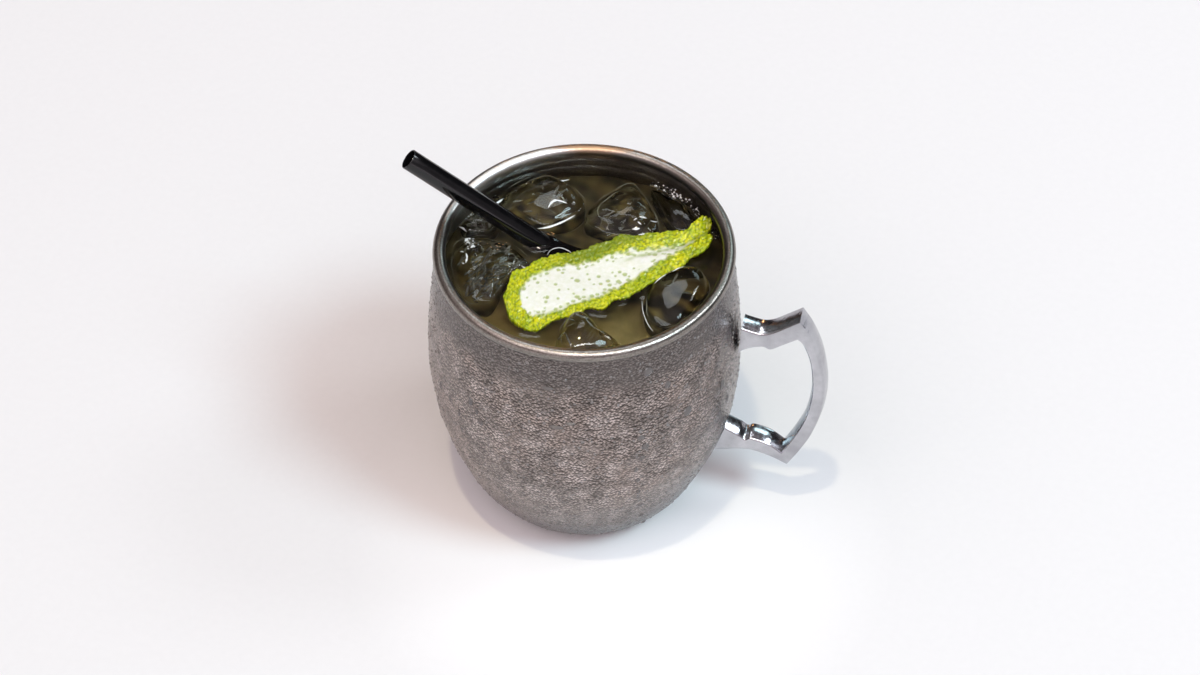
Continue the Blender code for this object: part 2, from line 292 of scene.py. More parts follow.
mug = {
    "body": ((1.5, 28.6), (6.0, 32.9), (13.7, 37.5), (24.5, 41.6), (37.2, 45.1), (51.0, 46.5),
             (64.7, 46.6), (78.4, 45.3), (88.2, 44.2), (94.6, 43.3)),   # height, radius
    "foot": 25.0,
    "floor": 1.2,
    "rim": 98.0,
    "beadRadius": 1.9,
    "beadCentre": 42.1,
    "beadTurn": (-50.0, 214.0),   # from the wall round to the inside
    # height and radius of its inner side, up to the bead
    "lip": ((84.0, 43.75), (88.3, 43.15), (91.0, 42.45), (92.8, 41.75), (94.2, 40.95), (95.0, 40.55)),
    "around": 380,            # points round it
    "rows": 143,              # points up the wall
    "dimplePitch": 7.6,
    "dimpleDepth": 0.20,
    "dimpleSize": 2.6,
    "dimplesTo": 82.0,        # the hammering stops at this height
    "wave": 0.16,
}
bodyRadius = reader(mug["body"])


def innerRadius(height):
    return bodyRadius(height) - wall


def hammering():
    # centres of the hammer's blows: rows a pitch apart, every other row half a pitch on, all shaken a little
    draw = np.random.default_rng(3)
    centres = []
    for row, height in enumerate(np.arange(7.0, mug["dimplesTo"] + 1.0, mug["dimplePitch"] * 0.87)):
        count = round(2 * math.pi * float(bodyRadius(height)) / mug["dimplePitch"])
        angle = (np.arange(count) + row % 2 / 2 + draw.uniform(-0.22, 0.22, count)) * 2 * math.pi / count
        heights = height + draw.uniform(-1.3, 1.3, count)
        depth = draw.uniform(0.75, 1.15, count)
        size = draw.uniform(0.8, 1.25, count) * mug["dimpleSize"]
        centres.append(stacked(angle, heights, depth, size))
    return np.concatenate(centres)


def mugRelief(angle, height):
    # how far the hammered wall stands off its turned shape: a bell-shaped dish for each blow, and slow waves.
    # Also how near each point lies to the middle of a blow, where the steel is coloured lighter
    points = turned(bodyRadius(height), angle, height)
    dished = np.zeros(angle.shape)
    for around, up, depth, size in hammering():
        spread = float(bodyRadius(up))
        centre = (spread * math.cos(around), spread * math.sin(around), up)
        gap = ((points - centre) ** 2).sum(axis=-1)
        dished += depth * np.exp(-gap / size ** 2)
    hammered = 1.0 - ease(height, mug["dimplesTo"] - 6.0, mug["dimplesTo"] + 3.0)
    waves = mug["wave"] * ripple(points, 21.0, 5) * ease(height, 4.0, 16.0)
    return (waves - mug["dimpleDepth"] * dished) * hammered, dished * hammered


def mugSurface(angle, height):
    # points of the outer wall and its outward normals
    radius = bodyRadius(height) + mugRelief(angle, height)[0]
    slope = bodyRadius(height + 0.5) - bodyRadius(height - 0.5)
    return turned(radius, angle, height), unit(turned(1.0, angle, -slope))


def steelFinish(name):
    # worn stainless steel under a mist of fine drops. Each drop gets a painted highlight where it faces up
    # and
    # painted shade under itself: its height there is compared with the height a little further up the wall
    made, tree, shader = newFinish(name)
    place = objectPlace(tree)
    up = axisPlace(tree, place, "Z")
    patch = noiseValue(tree, place, 7.0, 4.0)
    cloud = ranged(tree, noiseValue(tree, place, 26.0), 0.35, 0.65)
    tone = blendColour(tree, cloud, (0.318, 0.258, 0.229), (0.298, 0.261, 0.241))
    washes = ((ranged(tree, patch, 0.42, 0.62), (0.208, 0.177, 0.161)),           # stained patches
              (painted(tree, "blow"), (0.43, 0.371, 0.345)),                      # lighter in the middle of each hammer dent
              (ranged(tree, up, 0.0815, 0.0865), (0.178, 0.156, 0.146)),          # the smooth neck
              (ranged(tree, up, 0.034, 0.006), (0.150, 0.132, 0.123)))            # painted shade towards the foot
    for share, colour in washes:
        tone = blendColour(tree, share, tone, colour)
    # painted reflection difference: the wall is coloured darker towards the handle's side
    handleSideShade = ranged(tree, axisPlace(tree, place, "X"), -0.044, 0.012)
    tone = blendColour(tree, handleSideShade, tone, (0.85, 0.85, 0.86), "MULTIPLY")
    drift = addNode(tree, "TexNoise", {"Vector": place, "Scale": 1000.0 / 2.6, "Detail": 1.0})
    inputs = {0: drift.outputs["Color"], "Scale": 0.0005}
    shift = addNode(tree, "VectorMath", inputs, operation="SCALE").outputs["Vector"]
    bent = vectorMaths(tree, "ADD", place, shift)
    depths = []
    for at in (bent, vectorMaths(tree, "ADD", bent, (0.0, 0.0, 0.00026))):
        flat = addNode(tree, "Mapping", {"Vector": at, "Scale": (1.0, 1.0, 1.05)}).outputs["Vector"]
        depths.append(cellDistance(tree, flat, 0.78))
    here, above = depths
    rise = ranged(tree, maths(tree, "SUBTRACT", above, here), -0.22, 0.22)
    domed = ranged(tree, here, 0.58, 0.12)
    lit = maths(tree, "ADD", product(tree, domed, 0.55), product(tree, rise, 0.45))
    # painted highlight and painted shade of the drops, multiplied into the steel's colour
    glint = blendColour(tree, lit, (0.20, 0.20, 0.20), (2.15, 2.15, 2.17))
    dropLightShare = product(tree, ranged(tree, noiseValue(tree, place, 11.0, 2.0), 0.32, 0.52, 0.6, 1.0),
                    ranged(tree, up, 0.0815, 0.0865, 1.0, 0.62))
    tone = blendColour(tree, dropLightShare, tone, glint, "MULTIPLY")
    setShader(shader, Base=tone, Roughness=ranged(tree, patch, 0.3, 0.7, 0.22, 0.30), Metallic=1.0)
    bump(tree, shader, maths(tree, "POWER", ranged(tree, here, 0.62, 0.0), 0.5), 0.13, 0.9)
    return made


def rimFinish(name):
    # brushed steel of the lip and the inside: fine lines run round it. The light that the bead gathers at the
    # back left and at the back is painted into the colour of its inner side, with painted shade further in
    made, tree, shader = newFinish(name)
    place = objectPlace(tree)
    lines = noiseValue(tree, objectPlace(tree, (0.04, 0.04, 1.0)), 0.45, 3.0, 0.6)
    grain = ranged(tree, noiseValue(tree, place, 0.55, 2.0), 0.35, 0.65)
    high = axisPlace(tree, place, "Z")
    out = vectorMaths(tree, "LENGTH", vectorMaths(tree, "MULTIPLY", place, (1.0, 1.0, 0.0)), output="Value")
    within = ranged(tree, out, 0.0427, 0.0421)

    def facing(aim, reach, heights):
        along = vectorMaths(tree, "DOT_PRODUCT", place, aim, "Value")
        return product(tree, ranged(tree, along, *reach), ranged(tree, high, *heights), within)

    # painted highlight at the back left and painted warm reflection at the back
    bright = facing((-0.766, 0.643, 0.0), (0.0325, 0.0395), (0.0895, 0.0945))
    warm = facing((-0.16, 0.987, 0.0), (0.0395, 0.0412), (0.0925, 0.0950))
    # painted shade where the bead's inner side turns down to the wall
    innerShade = product(tree, ranged(tree, out, 0.0418, 0.0403), ranged(tree, high, 0.0935, 0.0945))
    tone = blendColour(tree, ranged(tree, lines, 0.35, 0.7), (0.25, 0.228, 0.206), (0.38, 0.352, 0.325))
    tone = blendColour(tree, grain, tone, (0.66, 0.65, 0.64), "MULTIPLY")
    washes = ((innerShade, (0.17, 0.157, 0.147)), (bright, (0.76, 0.74, 0.72)), (warm, (0.44, 0.27, 0.165)))
    for share, colour in washes:
        tone = blendColour(tree, share, tone, colour)
    dull = ranged(tree, maths(tree, "MAXIMUM", bright, warm), 0.0, 1.0, 0.28, 0.50)
    around = addNode(tree, "Tangent", direction_type="RADIAL", axis="Z").outputs["Tangent"]
    setShader(shader, Base=tone, Roughness=dull, Metallic=1.0, Anisotropic=0.6, Tangent=around)
    bump(tree, shader, maths(tree, "ADD", lines, grain), 0.035, 0.7)
    return made


def makeMug():
    # a profile turned about Z: foot, wall, bead and back down the inside. The hammering is added to the wall
    around = mug["around"]
    angle = np.arange(around) * 2 * math.pi / around
    fine = np.linspace(mug["body"][0][0], mug["body"][-1][0], 2000)
    travel = np.concatenate([[0.0], np.cumsum(np.hypot(np.diff(fine), np.diff(bodyRadius(fine))))])
    heights = np.interp(np.linspace(0.0, travel[-1], mug["rows"]), travel, fine)
    foot = [(0.4, 0.0), (8.0, 0.0), (16.0, 0.0), (mug["foot"], 0.0), (26.2, 0.15), (27.4, 0.7)]
    turn = np.radians(np.linspace(*mug["beadTurn"], 36))
    bead = stacked(mug["beadCentre"] + mug["beadRadius"] * np.cos(turn),
                   mug["rim"] - mug["beadRadius"] + mug["beadRadius"] * np.sin(turn))
    lipHeights, wallHeights = np.linspace(94.8, 84.0, 20), np.linspace(81.0, 4.0, 16)
    inner = [stacked(reader(mug["lip"])(lipHeights), lipHeights),
             stacked(innerRadius(wallHeights), wallHeights)]
    bottom = [(28.6, 2.2), (24.5, mug["floor"]), (12.0, mug["floor"]), (0.4, mug["floor"])]
    profile = np.concatenate([foot, stacked(bodyRadius(heights), heights), bead, *inner, bottom])
    first, last = len(foot), len(foot) + len(heights)
    radius = np.repeat(profile[:, :1], around, axis=1)
    relief, blow = mugRelief(*np.meshgrid(angle, heights))
    radius[first:last] += relief
    dentCentre = np.zeros(radius.shape)
    dentCentre[first:last] = np.clip(blow, 0.0, 1.1) ** 2.0
    faces = ringFaces(len(profile), around)
    finishOf = np.zeros(len(faces[0]) + 2)
    finishOf[last * around:] = 1
    points = turned(radius, angle, profile[:, 1:])
    addPiece("mug", points.reshape(-1, 3), faces, [steelFinish("hammered_steel"), rimFinish("brushed_steel")],
             replaces=["cup"], slot="hammered_steel", finishOf=finishOf, values={"blow": dentCentre.ravel()})


makeMug()


# Condensation on the mug

dew = {
    "drops": 4600,
    "radius": (0.22, 0.56),   # most are near the first
    "height": 0.42,           # of a drop's radius
    "from": 3.0,              # up the wall, from here
    "to": 93.5,               # to here
    # drops that have grown together: angle and height on the wall, half width, half height
    "large": (
        (306.2, 87.5, 1.5, 1.6), (314.0, 79.7, 1.1, 1.5), (302.5, 63.0, 1.3, 1.1), (304.2, 58.8, 1.2, 1.3),
        (303.0, 53.9, 1.0, 1.0), (322.2, 65.5, 1.5, 1.9), (301.0, 49.0, 0.7, 1.2), (301.8, 43.6, 0.8, 1.0),
        (302.5, 37.2, 0.7, 1.3), (304.8, 27.6, 1.0, 1.2), (307.5, 18.5, 0.8, 0.9), (313.2, 8.0, 1.1, 0.8),
        (216.8, 59.1, 0.7, 1.8), (224.0, 58.9, 0.8, 1.6), (230.0, 57.3, 0.8, 1.5), (237.0, 66.8, 0.9, 1.7),
        (239.8, 64.4, 0.8, 1.4), (241.5, 60.6, 1.2, 1.3), (268.5, 84.1, 1.9, 0.6), (272.0, 69.8, 2.2, 0.7),
        (277.0, 71.5, 1.6, 0.6), (341.8, 63.5, 1.2, 2.2), (348.0, 52.7, 1.0, 1.9), (35.0, 61.0, 1.3, 1.5),
        (76.0, 44.0, 1.1, 1.6), (118.0, 70.0, 1.4, 1.2), (161.0, 52.0, 1.2, 1.5), (188.0, 38.0, 1.0, 1.2)),
}


def dropShape(sides, rings):
    # rings of a unit cap from its top down to its rim: the height falls with the square of the distance, and
    # the rim is sunk a little
    down = np.linspace(0.0, 1.0, rings + 1)[1:, None]
    turn = np.arange(sides)[None, :] * 2 * math.pi / sides
    reach = np.sin(down * math.pi / 2)
    ringPoints = turned(reach, turn, 1.0 - reach ** 2 - 0.12 * (down == 1.0))
    return np.vstack([[(0.0, 0.0, 1.0)], ringPoints.reshape(-1, 3)])


def scatterCaps(points, normals, across, along, height, turn, sides, rings):
    # one cap at each point: its shape stretched along and across, turned in the wall and lifted by its height
    shape = dropShape(sides, rings)
    flat = unit(stacked(-normals[:, 1], normals[:, 0], 0.0))
    fall = np.cross(normals, flat)
    cos, sin = np.cos(turn)[:, None], np.sin(turn)[:, None]
    axes = ((flat * cos + fall * sin) * across[:, None], (fall * cos - flat * sin) * along[:, None],
            normals * height[:, None])
    caps = points[:, None] + sum(shape[None, :, k:k + 1] * axes[k][:, None] for k in range(3))
    ring = np.arange(sides)
    top = stacked(0, ring + 1, np.roll(ring, -1) + 1)
    base = (ring + 1 + (rings - 1) * sides)[None, ::-1]
    offset = (np.arange(len(points)) * len(shape))[:, None, None]
    faces = [(block[None] + offset).reshape(-1, block.shape[1])
             for block in (gridFaces(rings, sides, wrap=True) + 1, top, base)]
    return caps.reshape(-1, 3), faces


def waterFinish(name, colour, clear):
    return plainFinish(name, colour, Roughness=0.03, Ior=1.33, Transmission=clear)


def makeDew(water):
    draw = np.random.default_rng(11)
    height = draw.uniform(dew["from"], dew["to"], dew["drops"] * 2)
    # as many on each square millimetre where the mug is narrow as where it is wide
    kept = draw.uniform(size=len(height)) < bodyRadius(height) / max(radius for _, radius in mug["body"])
    height = height[kept][:dew["drops"]]
    count = len(height)
    angle = draw.uniform(0.0, 2 * math.pi, count)
    points, normals = mugSurface(angle, height)
    radius = dew["radius"][0] + (dew["radius"][1] - dew["radius"][0]) * draw.uniform(size=count) ** 2.2
    across = radius * draw.uniform(0.85, 1.3, count)
    turn = draw.uniform(0.0, math.pi, count)
    caps, faces = scatterCaps(points, normals, across, radius, radius * dew["height"], turn, 7, 3)
    addPiece("condensation", caps, faces, [water])
    around, up, width, tall = np.array(dew["large"]).T
    points, normals = mugSurface(np.radians(around), up)
    caps, faces = scatterCaps(points, normals, width, tall, width * dew["height"], np.zeros(len(up)), 24, 9)
    addPiece("large_drops", caps, faces, [waterFinish("large_drop", (0.27, 0.25, 0.245), 0.55)])


makeDew(waterFinish("dew", (0.40, 0.375, 0.365), 0.5))


# Handle

handle = {
    "width": 6.7,
    "edge": 0.85,             # radius of its long edges
    # stations of the two outlines in X and Z, for the upper arm, the grip and the lower arm
    "outer": (
        ((47.6, 76.4), (48.6, 76.1), (51.0, 75.6), (53.6, 75.4), (56.6, 76.6), (60.4, 79.6), (64.5, 83.0)),
        ((64.5, 83.0), (68.0, 77.2), (71.2, 68.6), (73.2, 58.0), (73.0, 47.4), (70.6, 35.6), (67.2, 26.6),
         (63.7, 19.5)),
        ((63.7, 19.5), (58.6, 22.0), (53.4, 23.4), (48.4, 23.1), (44.0, 21.8), (41.0, 21.0))),
    "inner": (
        ((47.0, 65.6), (48.2, 67.0), (51.0, 68.8), (54.2, 69.8), (56.4, 69.1), (60.0, 71.8), (64.2, 75.1)),
        ((64.2, 75.1), (66.2, 72.4), (68.6, 64.4), (69.5, 53.0), (68.1, 41.8), (65.2, 32.8), (61.7, 24.6)),
        ((61.7, 24.6), (57.6, 27.6), (52.2, 29.0), (50.3, 28.1), (48.3, 29.6), (46.0, 30.8), (44.0, 31.8))),
    "counts": (70, 110, 70),  # points along the three stretches
    "dent": 0.07,
    "crown": 0.42,            # how much its long faces bulge
}


def handleFinish(name):
    # polished casting: small pits, scratches and a slow wave in its skin
    made, tree, shader = newFinish(name)
    place = objectPlace(tree)
    wave = noiseValue(tree, place, 6.0)
    pits = ranged(tree, cellDistance(tree, place, 2.6), 0.02, 0.22)
    scratch = noiseValue(tree, objectPlace(tree, (1.0, 0.12, 0.25)), 0.7, 3.0, 0.6)
    tone = blendColour(tree, ranged(tree, wave, 0.3, 0.7), (0.37, 0.37, 0.395), (0.53, 0.53, 0.56))
    setShader(shader, Base=tone, Roughness=ranged(tree, scratch, 0.35, 0.75, 0.14, 0.28), Metallic=1.0)
    under = bump(tree, shader, wave, 0.35, 0.5)
    under = bump(tree, shader, pits, 0.10, 0.5, under)
    bump(tree, shader, scratch, 0.03, 0.3, under)
    return made


def makeHandle():
    # a rounded box section, worked out from the outer and the inner outline, carried round the loop
    outer, inner = (np.concatenate([smoothCurve(*part) for part in zip(handle[line], handle["counts"])])
                    for line in ("outer", "inner"))
    edge = handle["edge"]
    straight = handle["width"] / 2 - edge
    arc = np.radians(np.linspace(90.0, 0.0, 6))
    flat = np.linspace(-1.0, 1.0, 11)[:-1]
    share = np.linspace(0.0, 1.0, 13)[1:-1]
    # half of the section as (side, distance from the outer outline, share of the thickness): the outer face,
    # its corner, the side and the corner of the inner face. The other half is the same turned round
    near = np.concatenate([
        stacked(flat * straight, handle["crown"] * (flat ** 2 - 1.0), 0.0),
        stacked(straight + edge * np.cos(arc), edge - edge * np.sin(arc), 0.0),
        stacked(straight + edge, edge - 2 * edge * share, share),
        stacked(straight + edge * np.cos(arc[::-1]), edge * np.sin(arc[::-1]) - edge, 1.0)])
    side, down, share = np.concatenate([near, near * (-1.0, -1.0, -1.0) + (0.0, 0.0, 1.0)]).T
    thickness = np.linalg.norm(inner - outer, axis=-1)[:, None]
    place = outer[:, None] + ((inner - outer) / thickness)[:, None] * (down + share * thickness)[..., None]
    points = stacked(place[..., 0], side, place[..., 1])
    points[..., 1] += handle["dent"] * ripple(points, 13.0, 8) * np.sign(side)
    addPiece("cast_handle", points.reshape(-1, 3), ringFaces(*points.shape[:2]),
             [handleFinish("polished_casting")], replaces=["handle"], slot="polished_steel", sharp=32.0)


makeHandle()


# Straw

straw = {
    "radius": 3.1,
    "bore": 2.75,
    "length": 121.0,
    "tip": (-52.25, 3.0, 119.0),
    "lean": 40.0,             # above the level
    "heading": 188.0,         # from +X
    "sides": 72,
}
strawLean, strawHeading = math.radians(straw["lean"]), math.radians(straw["heading"])
strawAxis = Vector((*planDirection(straw["heading"]) * math.cos(strawLean), math.sin(strawLean)))
strawAtLevel = Vector(straw["tip"]) - strawAxis * (straw["tip"][2] - level) / math.sin(strawLean)


def strawFinish(name):
    made, tree, shader = newFinish(name)
    place = objectPlace(tree)
    dust = noiseValue(tree, place, 3.0, 4.0, 0.65)
    tone = blendColour(tree, ranged(tree, dust, 0.4, 0.8), (0.0022, 0.0022, 0.0026), (0.006, 0.0058, 0.0065))
    setShader(shader, Base=tone, Roughness=ranged(tree, dust, 0.3, 0.8, 0.05, 0.13))
    bump(tree, shader, noiseValue(tree, place, 1.5, 2.0), 0.02, 0.4)
    return made


def makeStraw():
    # a tube's profile, rounded at both lips, turned about the straw's own axis
    bore, radius, length = straw["bore"], straw["radius"], straw["length"]
    lip = (radius - bore) / 2
    arc = np.radians(np.linspace(180.0, 0.0, 9))
    across, up = lip * np.cos(arc), lip * np.sin(arc)
    runs = np.linspace(-lip, lip - length, 26)[1:-1]
    profile = np.concatenate([stacked(bore + lip + across, up - lip), stacked(radius, runs),
                              stacked(bore + lip - across, lip - length - up), stacked(bore, runs[::-1])])
    turn = np.arange(straw["sides"]) * 2 * math.pi / straw["sides"]
    upright = turned(profile[:, :1], turn, profile[:, 1:]).reshape(-1, 3)
    points = upright @ np.array(strawAxis.to_track_quat("Z", "Y").to_matrix()).T + np.array(straw["tip"])
    addPiece("black_straw", points, [gridFaces(len(profile), straw["sides"], wrap=True, loop=True)],
             [strawFinish("black_plastic")], replaces=["straw"], slot="black_plastic")


makeStraw()


# Lime peel

peel = {
    "start": (-15.5, -20.0),
    "heading": 38.9,
    # along the heading from the start: how far its middle swings aside, its half width and its height
    "centre": ((-3.8, -3.0), (4.0, 0.3), (14.0, 1.7), (26.0, 0.7), (38.0, 1.0), (47.0, -0.3), (54.0, -1.6),
               (60.0, -0.6), (65.0, 0.4)),
    "halfWidth": ((-3.8, 4.2), (-1.5, 7.6), (2.0, 10.2), (9.0, 11.6), (17.0, 12.4), (26.0, 11.6),
                  (38.0, 10.4), (47.0, 8.2), (54.0, 5.8), (60.0, 5.2), (65.0, 5.4)),
    "top": ((-3.8, 89.9), (10.0, 89.7), (34.0, 89.9), (48.0, 90.9), (58.0, 92.4), (65.0, 93.3)),
    # how far each part of its end reaches, from one side (-1) to the other (1)
    "tip": ((-1.0, 59.6), (-0.6, 62.0), (-0.15, 61.4), (0.4, 65.0), (1.0, 63.4)),
    "edge": 0.9,              # thickness at its edges
    "middle": 2.4,
    "groove": 1.1,
    "scallop": 0.50,          # small lumps of the edge
    "lump": 0.75,             # slower ones
    "scallopPitch": 1.3,
    "along": 232,
    "across": 84,
    # how far the white pith reaches from the centre line, to the far and to the near side
    "pithFar": ((-4.0, -5.0), (0.5, -3.0), (2.0, 2.2), (5.0, 5.4), (9.0, 7.0), (18.0, 7.2), (27.0, 5.8),
                (36.0, 4.2), (45.0, 2.4), (54.0, 0.6), (60.0, -0.8), (66.0, -2.0)),
    "pithNear": ((-4.0, -5.0), (0.3, -1.0), (1.6, 3.8), (5.0, 7.4), (9.0, 8.5), (18.0, 8.7), (27.0, 8.0),
                 (36.0, 6.6), (45.0, 3.6), (54.0, 1.0), (60.0, -0.6), (66.0, -2.0)),
    "glandPitch": 1.0,
    "glandHeight": 0.27,
}


def peelGrid():
    # the strip of part.py on a fine grid: how far along and across, and its two faces
    side = np.linspace(-1.0, 1.0, peel["across"] + 1)[:, None]
    along = np.linspace(0.0, 1.0, peel["along"] + 1)[None, :]
    start, end = peel["centre"][0][0], reader(peel["tip"])(side)
    reach = start + 1.6 * side ** 2 + along * (end - start - 1.6 * side ** 2)
    nearEdge = ease(np.abs(side), 0.80, 1.0)
    shaken = reach + 1.3 * np.sin(reach * 0.9 + side)
    scallop = peel["scallop"] * (np.abs(np.sin(math.pi * shaken / peel["scallopPitch"])) - 0.4)
    scallop = scallop * (0.6 + 0.4 * np.sin(reach * 1.7 + 2.0 * side))
    scallop += peel["lump"] * ripple(stacked(reach, 9.0 * side), 6.5, 34)
    across = side * (reader(peel["halfWidth"])(reach) + scallop * nearEdge)
    fold = peel["groove"] * np.clip((reach - 34.0) / 16.0, 0.0, 1.0) * np.exp(-(3.0 * side - 0.6) ** 2)
    wave = 0.25 * np.sin(reach / 6.0 + 2.0 * side)
    top = reader(peel["top"])(reach) + wave - fold
    bottom = top - peel["edge"] - (peel["middle"] - peel["edge"]) * (1.0 - side ** 2)
    return reach, across, np.broadcast_to(side, reach.shape), top, bottom


def peelPlace(reach, across):
    ahead, offset = planDirection(peel["heading"]), reader(peel["centre"])(reach) + across
    return (peel["start"][0] + reach * ahead[0] - offset * ahead[1],
            peel["start"][1] + reach * ahead[1] + offset * ahead[0])


def glandField(reach, across, pitch, seed, shake=0.3):
    # distance to the nearest oil gland, and that gland's own draw, for glands on a shaken honeycomb
    draw = np.random.default_rng(seed)
    rows = np.arange(-14.0, 14.0, pitch * 0.87)
    columns = np.arange(-6.0, 68.0, pitch)
    v, u = np.meshgrid(rows, columns, indexing="ij")
    u = u + (np.arange(len(rows))[:, None] % 2) * pitch / 2 + draw.uniform(-shake, shake, u.shape) * pitch
    v = v + draw.uniform(-shake, shake, v.shape) * pitch
    size = draw.uniform(0.0, 1.0, u.shape).ravel()
    glands = stacked(u.ravel(), v.ravel())
    points = stacked(reach.ravel(), across.ravel())
    nearest, drawn = np.empty(len(points)), np.empty(len(points))
    for first in range(0, len(points), 1500):
        block = points[first:first + 1500]
        gap = ((block[:, None] - glands[None]) ** 2).sum(axis=-1)
        chosen = gap.argmin(axis=1)
        nearest[first:first + 1500] = np.sqrt(gap[np.arange(len(block)), chosen])
        drawn[first:first + 1500] = size[chosen]
    return nearest.reshape(reach.shape), drawn.reshape(reach.shape)


def peelFinish(name):
    # rind from yellow green to deep green with pale glands, white pith with green dots, all wet
    made, tree, shader = newFinish(name)
    place = objectPlace(tree)
    pith, gland, dot, deep = (painted(tree, field) for field in ("pith", "gland", "dot", "deep"))
    patch = ranged(tree, noiseValue(tree, place, 4.0, 4.0), 0.35, 0.65)
    rind = blendColour(tree, patch, (0.35, 0.44, 0.004), (0.66, 0.65, 0.010))
    rind = blendColour(tree, product(tree, deep, 0.75), rind, (0.12, 0.18, 0.004))
    rind = blendColour(tree, gland, blendColour(tree, 0.80, rind, (0.13, 0.20, 0.004)), rind)
    rind = blendColour(tree, product(tree, dot, 0.75), rind, (0.13, 0.22, 0.008))
    fibre = ranged(tree, noiseValue(tree, place, 1.4), 0.3, 0.7)
    white = blendColour(tree, fibre, (0.77, 0.79, 0.67), (0.86, 0.87, 0.82))
    white = blendColour(tree, dot, white, (0.33, 0.41, 0.11))
    setShader(shader, Base=blendColour(tree, pith, rind, white), Roughness=0.30, Specular=0.18, Coat=0.32,
              CoatRoughness=0.04, Scatter=0.12, ScatterScale=0.0012, ScatterRadius=(0.8, 1.0, 0.25))
    bump(tree, shader, noiseValue(tree, place, 0.7), 0.16, 0.8)
    return made


def makePeel():
    reach, across, _, top, bottom = peelGrid()
    far, near = reader(peel["pithFar"])(reach), reader(peel["pithNear"])(reach)
    shore = np.where(across > 0.0, far - across, near + across)
    grid = stacked(reach, across)
    shake = ripple(grid, 3.2, 21)
    pith = ease(shore + 0.6 * shake, -1.0, 1.2)
    gap, size = glandField(reach, across, peel["glandPitch"], 31)
    gland = 1.0 - ease(gap, 0.20 + 0.20 * size, 0.50 + 0.20 * size)
    # dots: a close row along the pith's shore, and scattered ones of many sizes on it
    rowGap, rowSize = glandField(reach, across, 1.9, 33, 0.26)
    dot = 0.8 * (1.0 - ease(rowGap, 0.36 + 0.25 * rowSize, 0.56 + 0.25 * rowSize)) * ease(shore, -1.9, -1.1)
    dot *= (1.0 - ease(shore, 1.4, 2.4)) * (rowSize > 0.2)
    dotGap, dotSize = glandField(reach, across, 2.9, 32, 0.45)
    spread = (1.0 - ease(dotGap, 0.18 + 0.5 * dotSize ** 3, 0.40 + 0.55 * dotSize ** 3)) * (dotSize > 0.42)
    dot = np.maximum(dot, 0.8 * spread * ease(shore, 0.4, 1.6))
    furrow = np.exp(-((across - 0.3 * far) / 0.9) ** 2) * ease(reach, 30.0, 42.0)
    dot = np.maximum(dot, 0.7 * furrow * (0.5 + 0.5 * shake))
    deep = ease(across, 4.4, 8.0) * ease(reach, 12.0, 27.0) * (1.0 - ease(reach, 40.0, 52.0))
    relief = peel["glandHeight"] * (1.0 - pith) * (gland - 0.45) * (0.5 + size)
    relief -= 0.14 * dot * pith
    relief += 0.22 * (1.0 - pith) * ripple(grid, 2.2, 35)
    x, y = peelPlace(reach, across)
    # values on the upper face and on the lower one, which is all rind
    fields = {"pith": (pith, 0 * pith), "gland": (gland, gland), "dot": (dot, dot),
              "deep": (deep, 0 * deep + 0.5)}
    values = {field: np.concatenate(pair).ravel() for field, pair in fields.items()}
    addSheet("lime_strip", stacked(x, y, top + relief), stacked(x, y, bottom - relief),
             peelFinish("lime_peel"), replaces=["lime_peel"], slot="lime_peel", values=values)


makePeel()


# Ice

iceShapes = {
    # corners of the outline at the level, height of the crown, its slope along X and Y, depth, squareness
    "ice_1": (((-30.0, 21.5), (-27.6, 30.2), (-19.6, 36.0), (-9.4, 31.8), (-5.2, 24.8), (-10.9, 17.0),
               (-17.6, 13.6)), 91.0, (0.04, 0.15), 21.0, 3.6),
    "ice_2": (((-4.2, 19.8), (-1.6, 29.0), (5.4, 37.2), (9.4, 35.2), (13.4, 30.2), (18.0, 21.4), (15.6, 15.4),
               (7.6, 14.0)), 90.9, (-0.02, 0.06), 20.0, 4.4),
    "ice_3": (((12.2, 38.0), (17.4, 36.0), (24.4, 31.4), (29.6, 25.6), (30.4, 21.2), (25.4, 19.8),
               (20.8, 23.6), (16.2, 31.2)), 90.2, (0.0, 0.05), 15.0, 3.6),
    "ice_4": (((19.4, -10.0), (19.8, -3.4), (23.2, 2.4), (29.6, 6.2), (34.0, 5.8), (37.2, 0.4), (36.0, -8.0),
               (31.8, -16.4), (27.0, -20.2), (22.2, -17.2)), 91.2, (0.05, 0.18), 22.0, 3.8),
    "ice_5": (((-1.0, -33.0), (-1.6, -26.0), (0.0, -20.6), (3.2, -19.2), (6.8, -21.4), (11.8, -25.0),
               (17.0, -28.0), (15.8, -31.6), (10.0, -35.4), (3.0, -36.8)), 93.6, (-0.08, 0.16), 19.0, 2.7),
    "ice_6": (((-39.4, 1.0), (-34.0, 6.2), (-26.0, 6.2), (-19.6, 3.0), (-16.4, -0.6), (-19.0, -5.0),
               (-21.4, -9.6), (-22.2, -14.4), (-24.6, -20.2), (-30.2, -19.6), (-36.4, -11.0)),
              90.4, (-0.03, 0.02), 20.0, 4.4),
    "ice_7": (((-39.4, 8.6), (-38.2, 13.0), (-34.6, 16.4), (-29.2, 14.4), (-30.6, 9.8), (-34.6, 8.4)),
              90.2, (0.0, 0.06), 11.0, 3.4),
}
ice = {
    "sides": 72,
    "rings": 40,
    "taper": 0.14,
    "melt": 0.24,             # height of the waves that melting left
    "facets": 5,              # flat parts of the upper face
    "facetSlope": (0.06, 0.21),
    # share of the facets and waves that a smooth piece has
    "calm": {"ice_4": 0.25, "ice_1": 0.55, "ice_5": 0.5},
    "flankShade": {"ice_5": 0.25},  # strength of the painted shade on the flanks, 1 unless given
    # creases of fractured ice: height and heading from +X
    "creases": {"ice_6": (0.22, 62.0), "ice_7": (0.24, 20.0), "ice_2": (0.10, 10.0), "ice_1": (0.05, 70.0)},
}


def iceOutline(name):
    outline = smoothCurve(iceShapes[name][0], 80, closed=True)
    return outline, outline.mean(axis=0)


